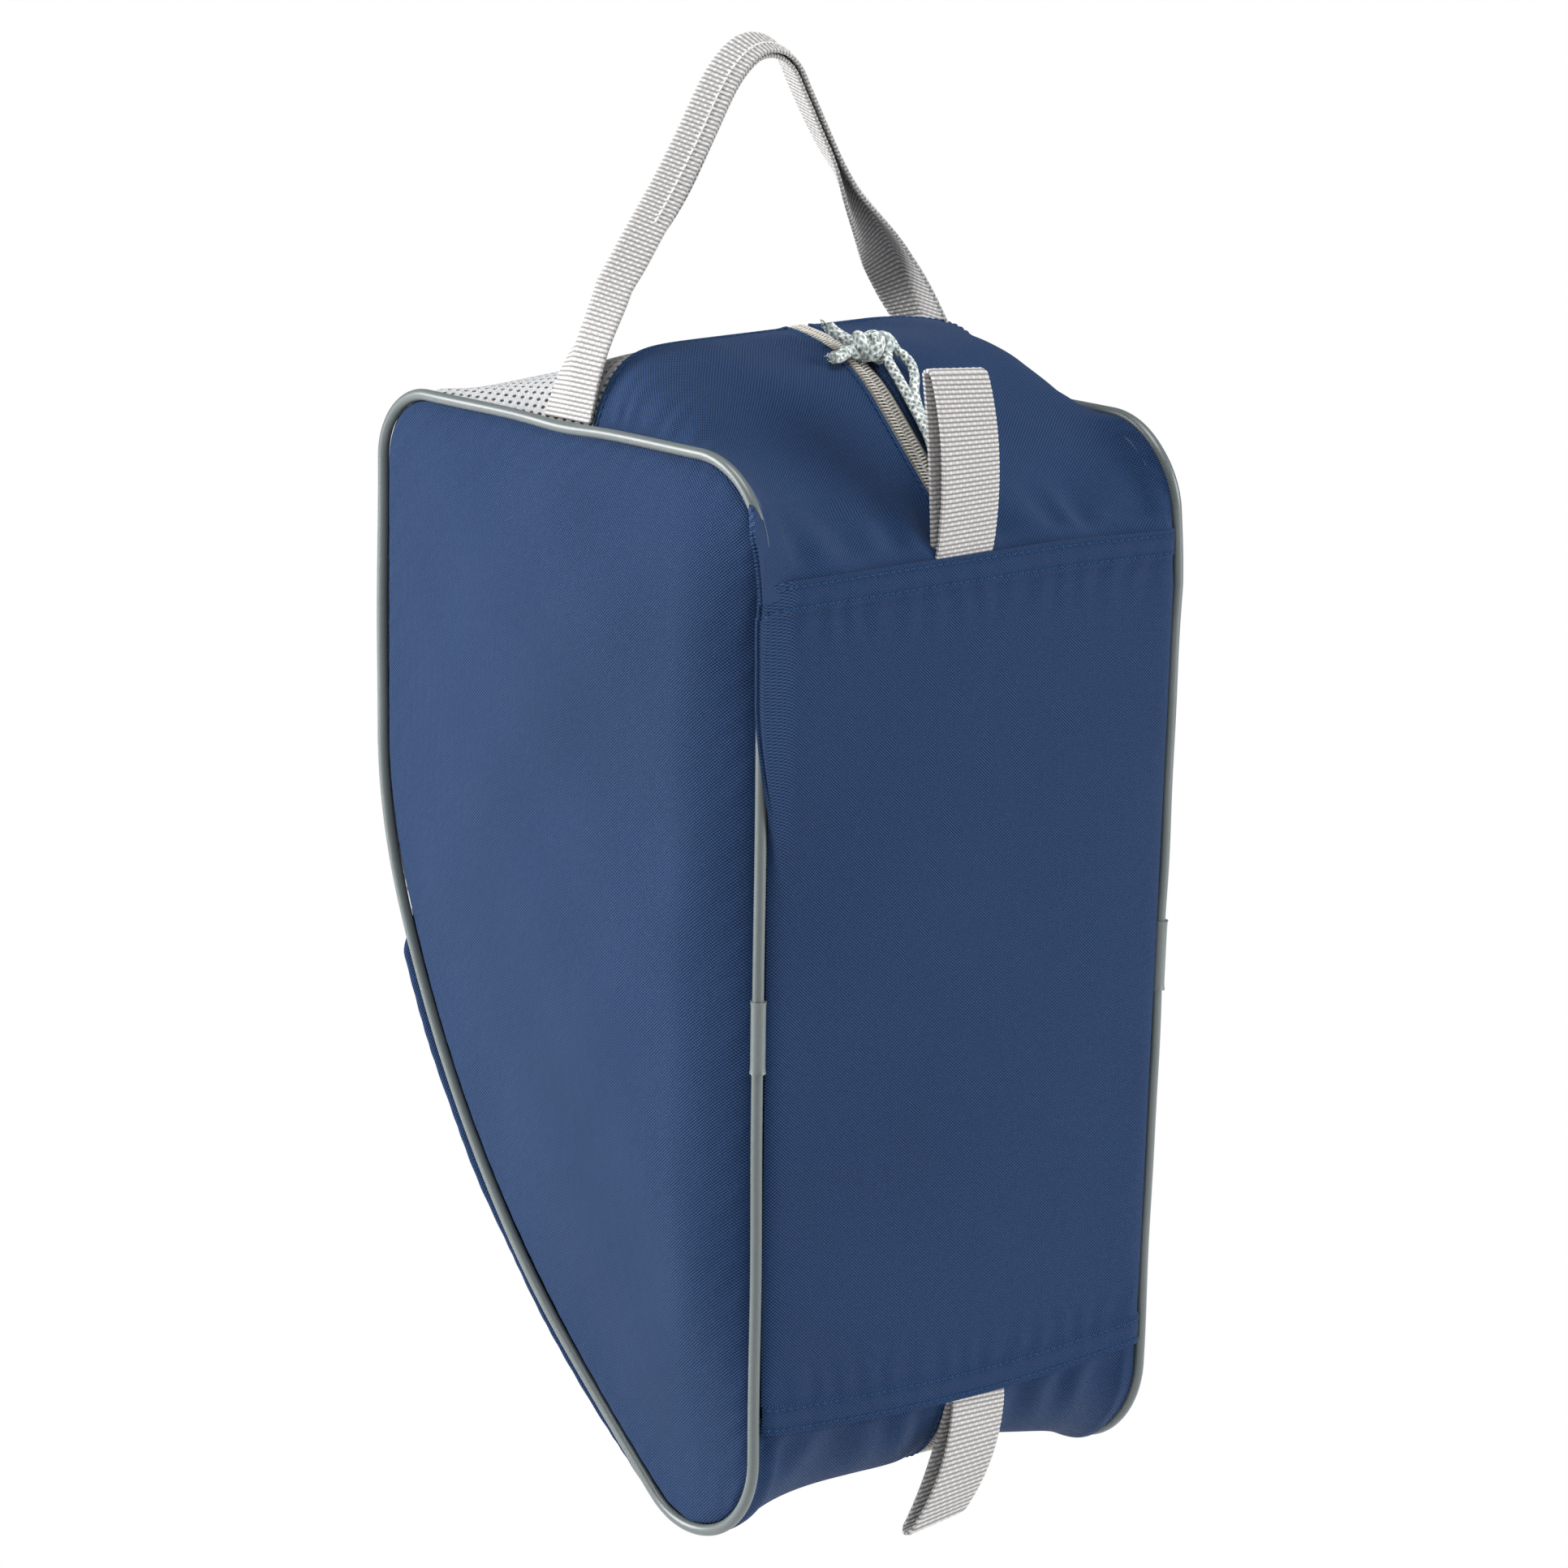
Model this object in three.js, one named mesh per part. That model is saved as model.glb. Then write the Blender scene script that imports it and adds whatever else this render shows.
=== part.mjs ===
// Golf shoe bag, hanging by its handle.
//
// Millimetres. X runs across the bag, Y from the flat base panel to the back, Z up.
// The origin is the point of the handle where a hook or a finger holds it.
// Inside the bag group, y = 0 is the outside of the base panel and z = 0 is its middle.

import * as THREE from 'three';

// ---- driving dimensions ----

const BAG_WIDTH = 177;            // between the centres of the two pipings
const BAG_DEPTH = 196.6;          // base panel to the piping along the back
const BASE_SEAM_Z = 139;          // the hems of the base panel, above and below its middle
const WEBBING_WIDTH = 25.4;
const WEBBING_THICKNESS = 1.7;
const PIPING_RADIUS = 1.9;
const PANEL_THICKNESS = 3;        // foam-backed cloth
const GUSSET_THICKNESS = 2;
const GAP = 0.4;                  // left between pieces that are sewn together

const HALF_WIDTH = BAG_WIDTH / 2;
const PIPING_Y = 2.8;             // centre of the piping along the base panel
const GUSSET_EDGE = HALF_WIDTH - PIPING_RADIUS - GAP;

// ---- side outline: the line that both pipings follow, as (y, z) ----

const HEEL_Z = 176;               // the straight top of the side panel
const HEEL_RADIUS = 30;
const SHOULDER_RADIUS = 24;       // corner between the heel and the back
const TOE_RADIUS = 30;
const TOE_Z = -147.5;             // centre of the toe's arc
const BACK_CURVE_Z = 60;          // where the straight back starts to curve
const MESH_TOP_Y = 90;            // heel gusset to mesh, on top
const MESH_END = [184, 0];        // mesh to toe gusset, on the back
const MESH_END_SLOPE = [-0.359, -0.933];
const FLAP_TOP_Z = 140;           // the mesh folds open below this height
const TOE_CORNER_ANGLE = -0.892;  // where the long curve meets the toe's arc
const BACK_CURVE_PULL = 20;       // how far the curves reach out along their end slopes
const LONG_CURVE_PULL = 75;
const TOE_CURVE_PULL = 85;

// ---- handle and loops ----

const HANDLE_Y = 99;
const HANDLE_AXIS_Z = 179;        // the bag swings about this line, where the handle is sewn in
const SWING_LIMIT = THREE.MathUtils.degToRad(50);
const HANG_Z = 291;               // underside of the handle at its top
const GRIP_WIDTH = 13;            // the grip is the same webbing folded in half and stitched
const GRIP_THICKNESS = 3.8;
const HEEL_LOOP_X = -6;
const TOE_LOOP_X = 8;
const LOOP_LENGTH = 57;
const LOOP_FRONT_Y = 0.4;
const LOOP_GAP = 2.8;             // between the two layers
const TOE_LOOP_LEAN = 0.36;
const HEEL_REAR_START = 5;        // the loops' rear layers start this far out, clear of the zip
const TOE_REAR_START = 11;

// ---- zip ----

const COIL_INNER = 0.2;
const COIL_OUTER = 2.9;
const TAPE_OUTER = 13;
const TAPE_DEPTH = 2.35;
const TAPE_THICKNESS = 0.8;
const COIL_TOP_DEPTH = 0.9;
const COIL_THICKNESS = 2.2;
const ZIP_WINDOW = 5;             // the gusset cloth stops this far from the middle
const SLIDER_REST = 15;           // slider's middle, along the zip from its lower end
const SLIDER_LENGTH = 11;
const CORD_RADIUS = 1.65;

// ---- materials ----

const cloth = new THREE.MeshStandardMaterial({ color: 0x24427a, roughness: 0.85, metalness: 0 });
const mesh = new THREE.MeshStandardMaterial({ color: 0xcfd0d2, roughness: 0.9, metalness: 0 });
const webbing = new THREE.MeshStandardMaterial({ color: 0xc9c8c7, roughness: 0.85, metalness: 0 });
const pvc = new THREE.MeshStandardMaterial({ color: 0x7f8686, roughness: 0.35, metalness: 0 });
const zipNylon = new THREE.MeshStandardMaterial({ color: 0xb9b3a8, roughness: 0.6, metalness: 0 });
const zipTape = new THREE.MeshStandardMaterial({ color: 0xb5b0a6, roughness: 0.9, metalness: 0 });
const metal = new THREE.MeshStandardMaterial({ color: 0x8c8f91, roughness: 0.3, metalness: 0.9 });
const braid = new THREE.MeshStandardMaterial({ color: 0x9aa5a1, roughness: 0.8, metalness: 0 });
const binding = new THREE.MeshStandardMaterial({ color: 0x1c2f55, roughness: 0.9, metalness: 0 });

// ---- geometry helpers ----

function signedVolume(positions, triangles) {
  let volume = 0;
  const a = new THREE.Vector3();
  const b = new THREE.Vector3();
  const c = new THREE.Vector3();
  for (let i = 0; i < triangles.length; i += 3) {
    a.fromArray(positions, 3 * triangles[i]);
    b.fromArray(positions, 3 * triangles[i + 1]);
    c.fromArray(positions, 3 * triangles[i + 2]);
    volume += a.dot(b.cross(c)) / 6;
  }
  return volume;
}

function closedGeometry(positions, triangles) {
  const outward = signedVolume(positions, triangles) > 0;
  const ordered = [];
  for (let i = 0; i < triangles.length; i += 3) {
    const [p, q, r] = triangles.slice(i, i + 3);
    ordered.push(p, outward ? q : r, outward ? r : q);
  }
  const geometry = new THREE.BufferGeometry();
  geometry.setAttribute('position', new THREE.Float32BufferAttribute(positions, 3));
  geometry.setIndex(ordered);
  geometry.computeVertexNormals();
  return geometry;
}

// A sheet with a thickness: top and bottom are grids of points, rows by columns.
function slab(top, bottom) {
  const rows = top.length;
  const columns = top[0].length;
  const positions = [];
  for (const grid of [top, bottom]) {
    for (const row of grid) {
      for (const point of row) positions.push(point.x, point.y, point.z);
    }
  }
  const upper = (i, j) => i * columns + j;
  const lower = (i, j) => rows * columns + i * columns + j;
  const triangles = [];
  const quad = (a, b, c, d) => triangles.push(a, b, c, a, c, d);
  for (let i = 0; i < rows - 1; i++) {
    for (let j = 0; j < columns - 1; j++) {
      quad(upper(i, j), upper(i, j + 1), upper(i + 1, j + 1), upper(i + 1, j));
      quad(lower(i, j), lower(i + 1, j), lower(i + 1, j + 1), lower(i, j + 1));
    }
    const last = columns - 1;
    quad(upper(i, 0), upper(i + 1, 0), lower(i + 1, 0), lower(i, 0));
    quad(upper(i, last), lower(i, last), lower(i + 1, last), upper(i + 1, last));
  }
  for (let j = 0; j < columns - 1; j++) {
    const last = rows - 1;
    quad(upper(0, j), lower(0, j), lower(0, j + 1), upper(0, j + 1));
    quad(upper(last, j), upper(last, j + 1), lower(last, j + 1), lower(last, j));
  }
  return closedGeometry(positions, triangles);
}

function named(name, geometry, material) {
  const piece = new THREE.Mesh(geometry, material);
  piece.name = name;
  return piece;
}

const vec2 = (pair) => new THREE.Vector2(pair[0], pair[1]);

// ---- the side outline and the line of the zip, in four matching spans ----

// Each span runs the same way on both lines: up the heel, over the shoulder, down the back, round the toe.
function toeCorner(radius) {
  const y = PIPING_Y + TOE_RADIUS + radius * Math.cos(TOE_CORNER_ANGLE);
  return [y, TOE_Z + radius * Math.sin(TOE_CORNER_ANGLE)];
}

function addBackCurve(path, y, end) {
  const back = vec2([y, BACK_CURVE_Z]);
  const slope = vec2(MESH_END_SLOPE);
  const first = back.clone().add(vec2([0, -BACK_CURVE_PULL]));
  const second = vec2(end).addScaledVector(slope, -BACK_CURVE_PULL);
  path.bezierCurveTo(first.x, first.y, second.x, second.y, end[0], end[1]);
}

function addLongCurve(path, start, end, endSlope) {
  const first = vec2(start).addScaledVector(vec2(MESH_END_SLOPE), LONG_CURVE_PULL);
  const second = vec2(end).addScaledVector(endSlope, -TOE_CURVE_PULL);
  path.bezierCurveTo(first.x, first.y, second.x, second.y, end[0], end[1]);
}

// The side outline moved inward by inset.
function sideLines(inset) {
  const base = PIPING_Y + inset;
  const heelY = PIPING_Y + HEEL_RADIUS;
  const heelCentreZ = HEEL_Z - HEEL_RADIUS;
  const top = HEEL_Z - inset;
  const back = BAG_DEPTH - inset;
  const shoulderY = BAG_DEPTH - SHOULDER_RADIUS;
  const shoulderZ = HEEL_Z - SHOULDER_RADIUS;
  const inwardAtMeshEnd = new THREE.Vector2(MESH_END_SLOPE[1], -MESH_END_SLOPE[0]);
  const meshEnd = vec2(MESH_END).addScaledVector(inwardAtMeshEnd, inset).toArray();
  const toe = toeCorner(TOE_RADIUS - inset);
  const toeSlope = new THREE.Vector2(Math.sin(TOE_CORNER_ANGLE), -Math.cos(TOE_CORNER_ANGLE));

  return {
    heel(path) {
      path.lineTo(base, heelCentreZ);
      path.absarc(heelY, heelCentreZ, HEEL_RADIUS - inset, Math.PI, Math.PI / 2, true);
      path.lineTo(MESH_TOP_Y, top);
    },
    shoulder(path) {
      path.lineTo(shoulderY, top);
      path.absarc(shoulderY, shoulderZ, SHOULDER_RADIUS - inset, Math.PI / 2, 0, true);
      path.lineTo(back, FLAP_TOP_Z);
    },
    flap(path) {
      path.lineTo(back, BACK_CURVE_Z);
      addBackCurve(path, back, meshEnd);
    },
    toe(path) {
      addLongCurve(path, meshEnd, toe, toeSlope);
      path.absarc(heelY, TOE_Z, TOE_RADIUS - inset, TOE_CORNER_ANGLE, -Math.PI, true);
      path.lineTo(base, -BASE_SEAM_Z);
    },
    starts: {
      heel: [base, BASE_SEAM_Z],
      shoulder: [MESH_TOP_Y, top],
      flap: [back, FLAP_TOP_Z],
      toe: meshEnd,
    },
  };
}

// The zip's own line: it cuts the heel corner, stands proud of the heel and back, and is drawn in at the toe.
const ZIP_BASE_Y = PANEL_THICKNESS;
const ZIP_START = [ZIP_BASE_Y, BASE_SEAM_Z + GAP];
const ZIP_RUN_END = [44, 180.5];
const ZIP_TOP_Z = 197;
const ZIP_BACK_Y = BAG_DEPTH + 8;
const ZIP_SHOULDER = [150, 150];  // where the top stops and where the back starts
const ZIP_MESH_END = [189.6, -2.2];
const ZIP_TOE = [44, -160];
const ZIP_TOE_SLOPE = new THREE.Vector2(-0.9, -0.43);

const zipLines = {
  heel(path) {
    path.lineTo(...ZIP_RUN_END);
    path.bezierCurveTo(56, 192, 70, 196, MESH_TOP_Y, ZIP_TOP_Z);
  },
  shoulder(path) {
    path.lineTo(ZIP_SHOULDER[0], ZIP_TOP_Z);
    path.bezierCurveTo(185, ZIP_TOP_Z, ZIP_BACK_Y, 180, ZIP_BACK_Y, ZIP_SHOULDER[1]);
    path.lineTo(ZIP_BACK_Y, FLAP_TOP_Z);
  },
  flap(path) {
    path.lineTo(ZIP_BACK_Y, BACK_CURVE_Z);
    addBackCurve(path, ZIP_BACK_Y, ZIP_MESH_END);
  },
  toe(path) {
    addLongCurve(path, ZIP_MESH_END, ZIP_TOE, ZIP_TOE_SLOPE);
    path.bezierCurveTo(28, -168, 10, -160, ZIP_BASE_Y, -BASE_SEAM_Z - GAP);
  },
  starts: {
    heel: ZIP_START,
    shoulder: [MESH_TOP_Y, ZIP_TOP_Z],
    flap: [ZIP_BACK_Y, FLAP_TOP_Z],
    toe: ZIP_MESH_END,
  },
};

function spanPath(lines, span) {
  const path = new THREE.Path();
  path.moveTo(...lines.starts[span]);
  lines[span](path);
  return path;
}

const pipingLines = sideLines(0);

// How a gusset swells between its piping and the zip: a high power rises steeply beside the piping.
const SPANS = {
  heel: { steps: 12, from: 3.4, to: 4.5 },
  shoulder: { steps: 12, from: 4.5, to: 2.2 },
  flap: { steps: 10, from: 2.2, to: 2.2 },
  toe: { steps: 18, from: 2.2, to: 2 },
};

const TANGENT_STEP = 0.004;       // share of a span over which its direction is measured

// A point of the gusset's surface: side is -1 or 1, across is the distance from the middle of the bag,
// along runs from 0 to 1 in the span, and depth is how far the point lies below the outer surface.
function gussetPoint(span, side, across, along, depth) {
  const { from, to } = SPANS[span];
  const power = THREE.MathUtils.lerp(from, to, along);
  const swell = 1 - Math.pow(Math.min(across / GUSSET_EDGE, 1), power);
  const paths = [spanPath(pipingLines, span), spanPath(zipLines, span)];
  const at = (u) => {
    const [outer, middle] = paths.map((path) => path.getPointAt(THREE.MathUtils.clamp(u, 0, 1)));
    return outer.lerp(middle, swell);
  };
  const tangent = at(along + TANGENT_STEP).sub(at(along - TANGENT_STEP)).normalize();
  const point = at(along);
  // The outward normal is on the left of the direction of travel.
  return new THREE.Vector3(
    side * across,
    point.x + depth * tangent.y,
    point.y - depth * tangent.x,
  );
}

function gussetStrip(span, side, acrossList, depth, thickness) {
  const { steps } = SPANS[span];
  const length = spanPath(zipLines, span).getLength();
  const trim = GAP / 2 / length;
  const top = [];
  const bottom = [];
  for (let i = 0; i <= steps; i++) {
    const along = THREE.MathUtils.lerp(trim, 1 - trim, i / steps);
    top.push(acrossList.map((across) => gussetPoint(span, side, across, along, depth)));
    bottom.push(acrossList.map((across) => gussetPoint(span, side, across, along, depth + thickness)));
  }
  return slab(top, bottom);
}

// ---- pieces ----

// The cloth has more columns where it swells steeply.
const GUSSET_COLUMNS = [1, 0.95, 0.86, 0.7, 0.4];

function gussetCloth(span, side) {
  const acrossList = [...GUSSET_COLUMNS.map((share) => share * GUSSET_EDGE), ZIP_WINDOW];
  return gussetStrip(span, side, acrossList, 0, GUSSET_THICKNESS);
}

function tape(span, side) {
  return gussetStrip(span, side, [COIL_OUTER + GAP, TAPE_OUTER], TAPE_DEPTH, TAPE_THICKNESS);
}

function coil(span, side) {
  return gussetStrip(span, side, [COIL_INNER, COIL_OUTER], COIL_TOP_DEPTH, COIL_THICKNESS);
}

const SPAN_ORDER = ['heel', 'shoulder', 'flap', 'toe'];

function sideShape(inset) {
  const lines = sideLines(inset);
  const shape = new THREE.Shape();
  shape.moveTo(...lines.starts.heel);
  for (const span of SPAN_ORDER) lines[span](shape);
  shape.closePath();
  return shape;
}

// Turns a shape drawn as (y, z) and extruded into place, from x = low to x = low + thickness.
function acrossExtrusion(shape, low, thickness, curveSegments) {
  const geometry = new THREE.ExtrudeGeometry(shape, { depth: thickness, bevelEnabled: false, curveSegments });
  geometry.rotateX(Math.PI / 2);
  geometry.rotateZ(Math.PI / 2);
  geometry.translate(low, 0, 0);
  return geometry;
}

const PANEL_INSET = 3.2;          // the side panel's edge lies this far inside the piping's centre
const BINDING_INSET = 8;
const BINDING_WIDTH = 7;
const BINDING_THICKNESS = 1.5;

function sidePanel(side) {
  const inner = HALF_WIDTH - PANEL_THICKNESS + GAP;
  const low = side > 0 ? inner : -inner - PANEL_THICKNESS;
  return acrossExtrusion(sideShape(PANEL_INSET), low, PANEL_THICKNESS, 10);
}

// The tape sewn over the raw seam allowances inside the bag.
function seamBinding(side) {
  const outer = sideShape(BINDING_INSET);
  const hole = new THREE.Path(sideShape(BINDING_INSET + BINDING_WIDTH).getPoints(8).reverse());
  outer.holes.push(hole);
  const inner = HALF_WIDTH - PANEL_THICKNESS - BINDING_THICKNESS;
  const low = side > 0 ? inner : -inner - BINDING_THICKNESS;
  return acrossExtrusion(outer, low, BINDING_THICKNESS, 8);
}

function basePanel() {
  const width = 2 * (GUSSET_EDGE - GAP);
  const geometry = new THREE.BoxGeometry(width, PANEL_THICKNESS, 2 * (BASE_SEAM_Z - GAP));
  geometry.translate(0, PANEL_THICKNESS / 2, 0);
  return geometry;
}

const SLEEVE_LENGTH = 23.5;
const SLEEVE_Z = -7;
const SLEEVE_RADIUS = 2.6;

// The piping starts and ends inside its sleeve, on the base side.
function piping(side) {
  const outline = new THREE.Path();
  outline.moveTo(PIPING_Y, SLEEVE_Z + GAP);
  outline.lineTo(PIPING_Y, BASE_SEAM_Z);
  for (const span of SPAN_ORDER) pipingLines[span](outline);
  outline.lineTo(PIPING_Y, SLEEVE_Z - GAP);
  const points = outline.getSpacedPoints(90).map((p) => new THREE.Vector3(side * HALF_WIDTH, p.x, p.y));
  const section = new THREE.Shape().absarc(0, 0, PIPING_RADIUS, 0, 2 * Math.PI, false);
  const route = new THREE.CatmullRomCurve3(points);
  return new THREE.ExtrudeGeometry(section, { steps: 84, curveSegments: 4, extrudePath: route });
}

function pipingSleeve(side) {
  const half = SLEEVE_LENGTH / 2;
  const bore = PIPING_RADIUS + 0.3;
  const profile = [[bore, -half], [SLEEVE_RADIUS, -half], [SLEEVE_RADIUS, half], [bore, half], [bore, -half]];
  const geometry = new THREE.LatheGeometry(profile.map(vec2), 16);
  geometry.rotateX(Math.PI / 2);
  geometry.translate(side * HALF_WIDTH, PIPING_Y, SLEEVE_Z);
  return geometry;
}

// A ribbon along a route: at each point it has a width direction and a half thickness direction.
function ribbon(route, steps, section) {
  const top = [];
  const bottom = [];
  for (let i = 0; i <= steps; i++) {
    const u = i / steps;
    const centre = route.getPointAt(u);
    const tangent = route.getTangentAt(u);
    const { width, thickness, widthAxis } = section(u);
    const normal = new THREE.Vector3().crossVectors(tangent, widthAxis).normalize();
    const corner = (w, t) => centre.clone().addScaledVector(widthAxis, w).addScaledVector(normal, t);
    top.push([corner(-width / 2, thickness / 2), corner(width / 2, thickness / 2)]);
    bottom.push([corner(-width / 2, -thickness / 2), corner(width / 2, -thickness / 2)]);
  }
  return slab(top, bottom);
}

// The handle's middle line, as (x, z). It leans a little to the left, as soft webbing does when hooked up.
const HANDLE_ROUTE = [
  [-86, 181.5], [-84.5, 197], [-75, 216], [-62, 237], [-48, 257], [-33, 275], [-18, 288], [-5, 293],
  [8, 290.5], [18, 279], [28, 260], [41, 243], [57, 226], [72, 209], [84, 193], [86, 181.5],
];
// Where the webbing is folded in half, as shares of the handle's length.
const FOLD_IN = [0.2, 0.32];
const FOLD_OUT = [0.58, 0.7];

function handleStrap() {
  const points = HANDLE_ROUTE.map(([x, z]) => new THREE.Vector3(x, HANDLE_Y, z));
  const route = new THREE.CatmullRomCurve3(points);
  const widthAxis = new THREE.Vector3(0, 1, 0);
  const { smoothstep, lerp } = THREE.MathUtils;
  return ribbon(route, 44, (u) => {
    const folded = smoothstep(u, ...FOLD_IN) - smoothstep(u, ...FOLD_OUT);
    const full = lerp(WEBBING_WIDTH, GRIP_WIDTH, folded);
    // The ends crease at their seams: no point of them swings below the axis.
    const creased = 2 * (route.getPointAt(u).z - HANDLE_AXIS_Z) / Math.tan(SWING_LIMIT);
    const thickness = lerp(WEBBING_THICKNESS, GRIP_THICKNESS, folded);
    return { width: Math.min(full, creased), thickness, widthAxis };
  });
}

// A pull loop: webbing out from its seam, round and back, drawn from z = 0 upwards (sense 1) or down (-1).
function pullLoop(sense, rearStart) {
  const front = WEBBING_THICKNESS / 2;
  const bend = (WEBBING_THICKNESS + LOOP_GAP) / 2;
  const path = new THREE.CurvePath();
  const at = (y, z) => new THREE.Vector3(0, y, sense * z);
  const top = LOOP_LENGTH - bend;
  path.add(new THREE.LineCurve3(at(front, 0), at(front, top)));
  const arc = [];
  for (let i = 0; i <= 6; i++) {
    const angle = Math.PI - (i * Math.PI) / 6;
    arc.push(at(front + bend + bend * Math.cos(angle), top + bend * Math.sin(angle)));
  }
  for (let i = 0; i < 6; i++) path.add(new THREE.LineCurve3(arc[i], arc[i + 1]));
  path.add(new THREE.LineCurve3(arc[6], at(front + 2 * bend, rearStart)));
  const widthAxis = new THREE.Vector3(1, 0, 0);
  return ribbon(path, 34, () => ({ width: WEBBING_WIDTH, thickness: WEBBING_THICKNESS, widthAxis }));
}

// The zip's straight run: places are given along it, above it and to its side.
const RUN_DIRECTION = vec2(ZIP_RUN_END).sub(vec2(ZIP_START)).normalize();
const RUN_SLOPE = Math.atan2(RUN_DIRECTION.y, RUN_DIRECTION.x);

function onRun(piece, along) {
  const place = vec2(ZIP_START).addScaledVector(RUN_DIRECTION, along);
  piece.position.set(0, place.x, place.y);
  piece.rotation.x = RUN_SLOPE;
  return piece;
}

// The slider's body is a channel over the two coils. Drawn with the zip along y and outward as z.
function sliderBody() {
  const halfWidth = 4.5;
  const top = 1.2;
  const under = GAP - COIL_TOP_DEPTH;
  const foot = -1.9;
  const flange = COIL_OUTER + GAP;
  const outline = [
    [-halfWidth, foot], [-flange, foot], [-flange, under], [flange, under],
    [flange, foot], [halfWidth, foot], [halfWidth, top], [-halfWidth, top],
  ];
  const shape = new THREE.Shape(outline.map(vec2));
  const geometry = new THREE.ExtrudeGeometry(shape, { depth: SLIDER_LENGTH, bevelEnabled: false });
  geometry.rotateX(Math.PI / 2);
  geometry.translate(0, SLIDER_LENGTH / 2, 0);
  return geometry;
}

const BAIL_HOLE_Z = 4.1;

function sliderBail() {
  const ring = new THREE.Shape();
  ring.absellipse(0, BAIL_HOLE_Z, 5, 2.5, 0, 2 * Math.PI, false, 0);
  const hole = new THREE.Path();
  hole.absellipse(0, BAIL_HOLE_Z, 3.2, 1.1, 0, 2 * Math.PI, true, 0);
  ring.holes.push(hole);
  const width = 2.4;
  return acrossExtrusion(ring, -width / 2, width, 8);
}

// The pull cord: two strands of one cord, from the slider's bail up over the crest to a knot.
// The points are (x, along the run, height above the zip). The right strand bows out before the knot.
const STRAND_ROUTES = {
  left: [
    [-3.4, 0, 4.1], [-3.3, 6, 4.2], [-2, 11, 4.5], [0.2, 16, 4.8], [2.8, 24, 4.8],
    [4.3, 31, 4.6], [5.2, 43, 4.5], [6.2, 55, 3], [7.4, 65, 1],
  ],
  right: [
    [3.4, 0, 4.1], [3.4, 6, 4], [3.7, 11, 3.5], [4.3, 16, 2.7], [5.8, 24, 2.3], [7.2, 31.5, 2.1],
    [8.6, 42, 2.3], [10.3, 49, 2.6], [13.3, 54.5, 2.4], [15.3, 60, 1.6], [15.2, 65, 0.4], [13.9, 68.6, -0.6],
  ],
};
const KNOT_CENTRE = [2, 74, -2.8];
const KNOT_RADII = [11.5, 5.5, 4.6];

function strand(word) {
  const points = STRAND_ROUTES[word].map((point) => new THREE.Vector3(...point));
  const section = new THREE.Shape().absarc(0, 0, CORD_RADIUS, 0, 2 * Math.PI, false);
  const route = new THREE.CatmullRomCurve3(points);
  return new THREE.ExtrudeGeometry(section, { steps: 20, curveSegments: 4, extrudePath: route });
}

function knot() {
  const geometry = new THREE.SphereGeometry(1, 16, 10);
  geometry.scale(...KNOT_RADII);
  geometry.translate(...KNOT_CENTRE);
  return geometry;
}

// ---- assembly ----

const bag = new THREE.Group();
bag.position.set(0, -HANDLE_Y, -HANG_Z);

bag.add(named('handle_strap', handleStrap(), webbing));
bag.add(named('base_panel', basePanel(), cloth));

for (const [word, side] of [['left', -1], ['right', 1]]) {
  bag.add(named(`side_panel_${word}`, sidePanel(side), cloth));
  bag.add(named(`heel_gusset_${word}`, gussetCloth('heel', side), cloth));
  bag.add(named(`mesh_shoulder_${word}`, gussetCloth('shoulder', side), mesh));
  bag.add(named(`mesh_flap_${word}`, gussetCloth('flap', side), mesh));
  bag.add(named(`toe_gusset_${word}`, gussetCloth('toe', side), cloth));
  bag.add(named(`seam_binding_${word}`, seamBinding(side), binding));
  bag.add(named(`piping_${word}`, piping(side), pvc));
  bag.add(named(`piping_sleeve_${word}`, pipingSleeve(side), pvc));
  for (const span of SPAN_ORDER) {
    bag.add(named(`zip_tape_${span}_${word}`, tape(span, side), zipTape));
    bag.add(named(`zip_coil_${span}_${word}`, coil(span, side), zipNylon));
  }
}

bag.add(onRun(named('zip_slider', sliderBody(), metal), SLIDER_REST));
bag.add(onRun(named('slider_bail', sliderBail(), metal), SLIDER_REST));
for (const word of ['left', 'right']) {
  bag.add(onRun(named(`pull_strand_${word}`, strand(word), braid), SLIDER_REST));
}
bag.add(onRun(named('pull_knot', knot(), braid), SLIDER_REST));

const heelLoop = named('heel_loop', pullLoop(1, HEEL_REAR_START), webbing);
heelLoop.position.set(HEEL_LOOP_X, LOOP_FRONT_Y, BASE_SEAM_Z + GAP);
bag.add(heelLoop);

const toeLoop = named('toe_loop', pullLoop(-1, TOE_REAR_START), webbing);
const leanDrop = (WEBBING_WIDTH / 2) * Math.sin(TOE_LOOP_LEAN);
toeLoop.position.set(TOE_LOOP_X, LOOP_FRONT_Y, -BASE_SEAM_Z - GAP - leanDrop);
toeLoop.rotation.y = TOE_LOOP_LEAN;
bag.add(toeLoop);

export default bag;
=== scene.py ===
"""The looks of a golf shoe bag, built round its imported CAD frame.

Shapes are worked out in millimetres in the bag's own frame: x runs across the bag, y from the outside
of the base panel to the back, and z up from the base panel's middle. place() turns them into metres in
the row frame.
"""

import math

import bmesh
import bpy
import numpy as np
from mathutils import Matrix, Vector


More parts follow.
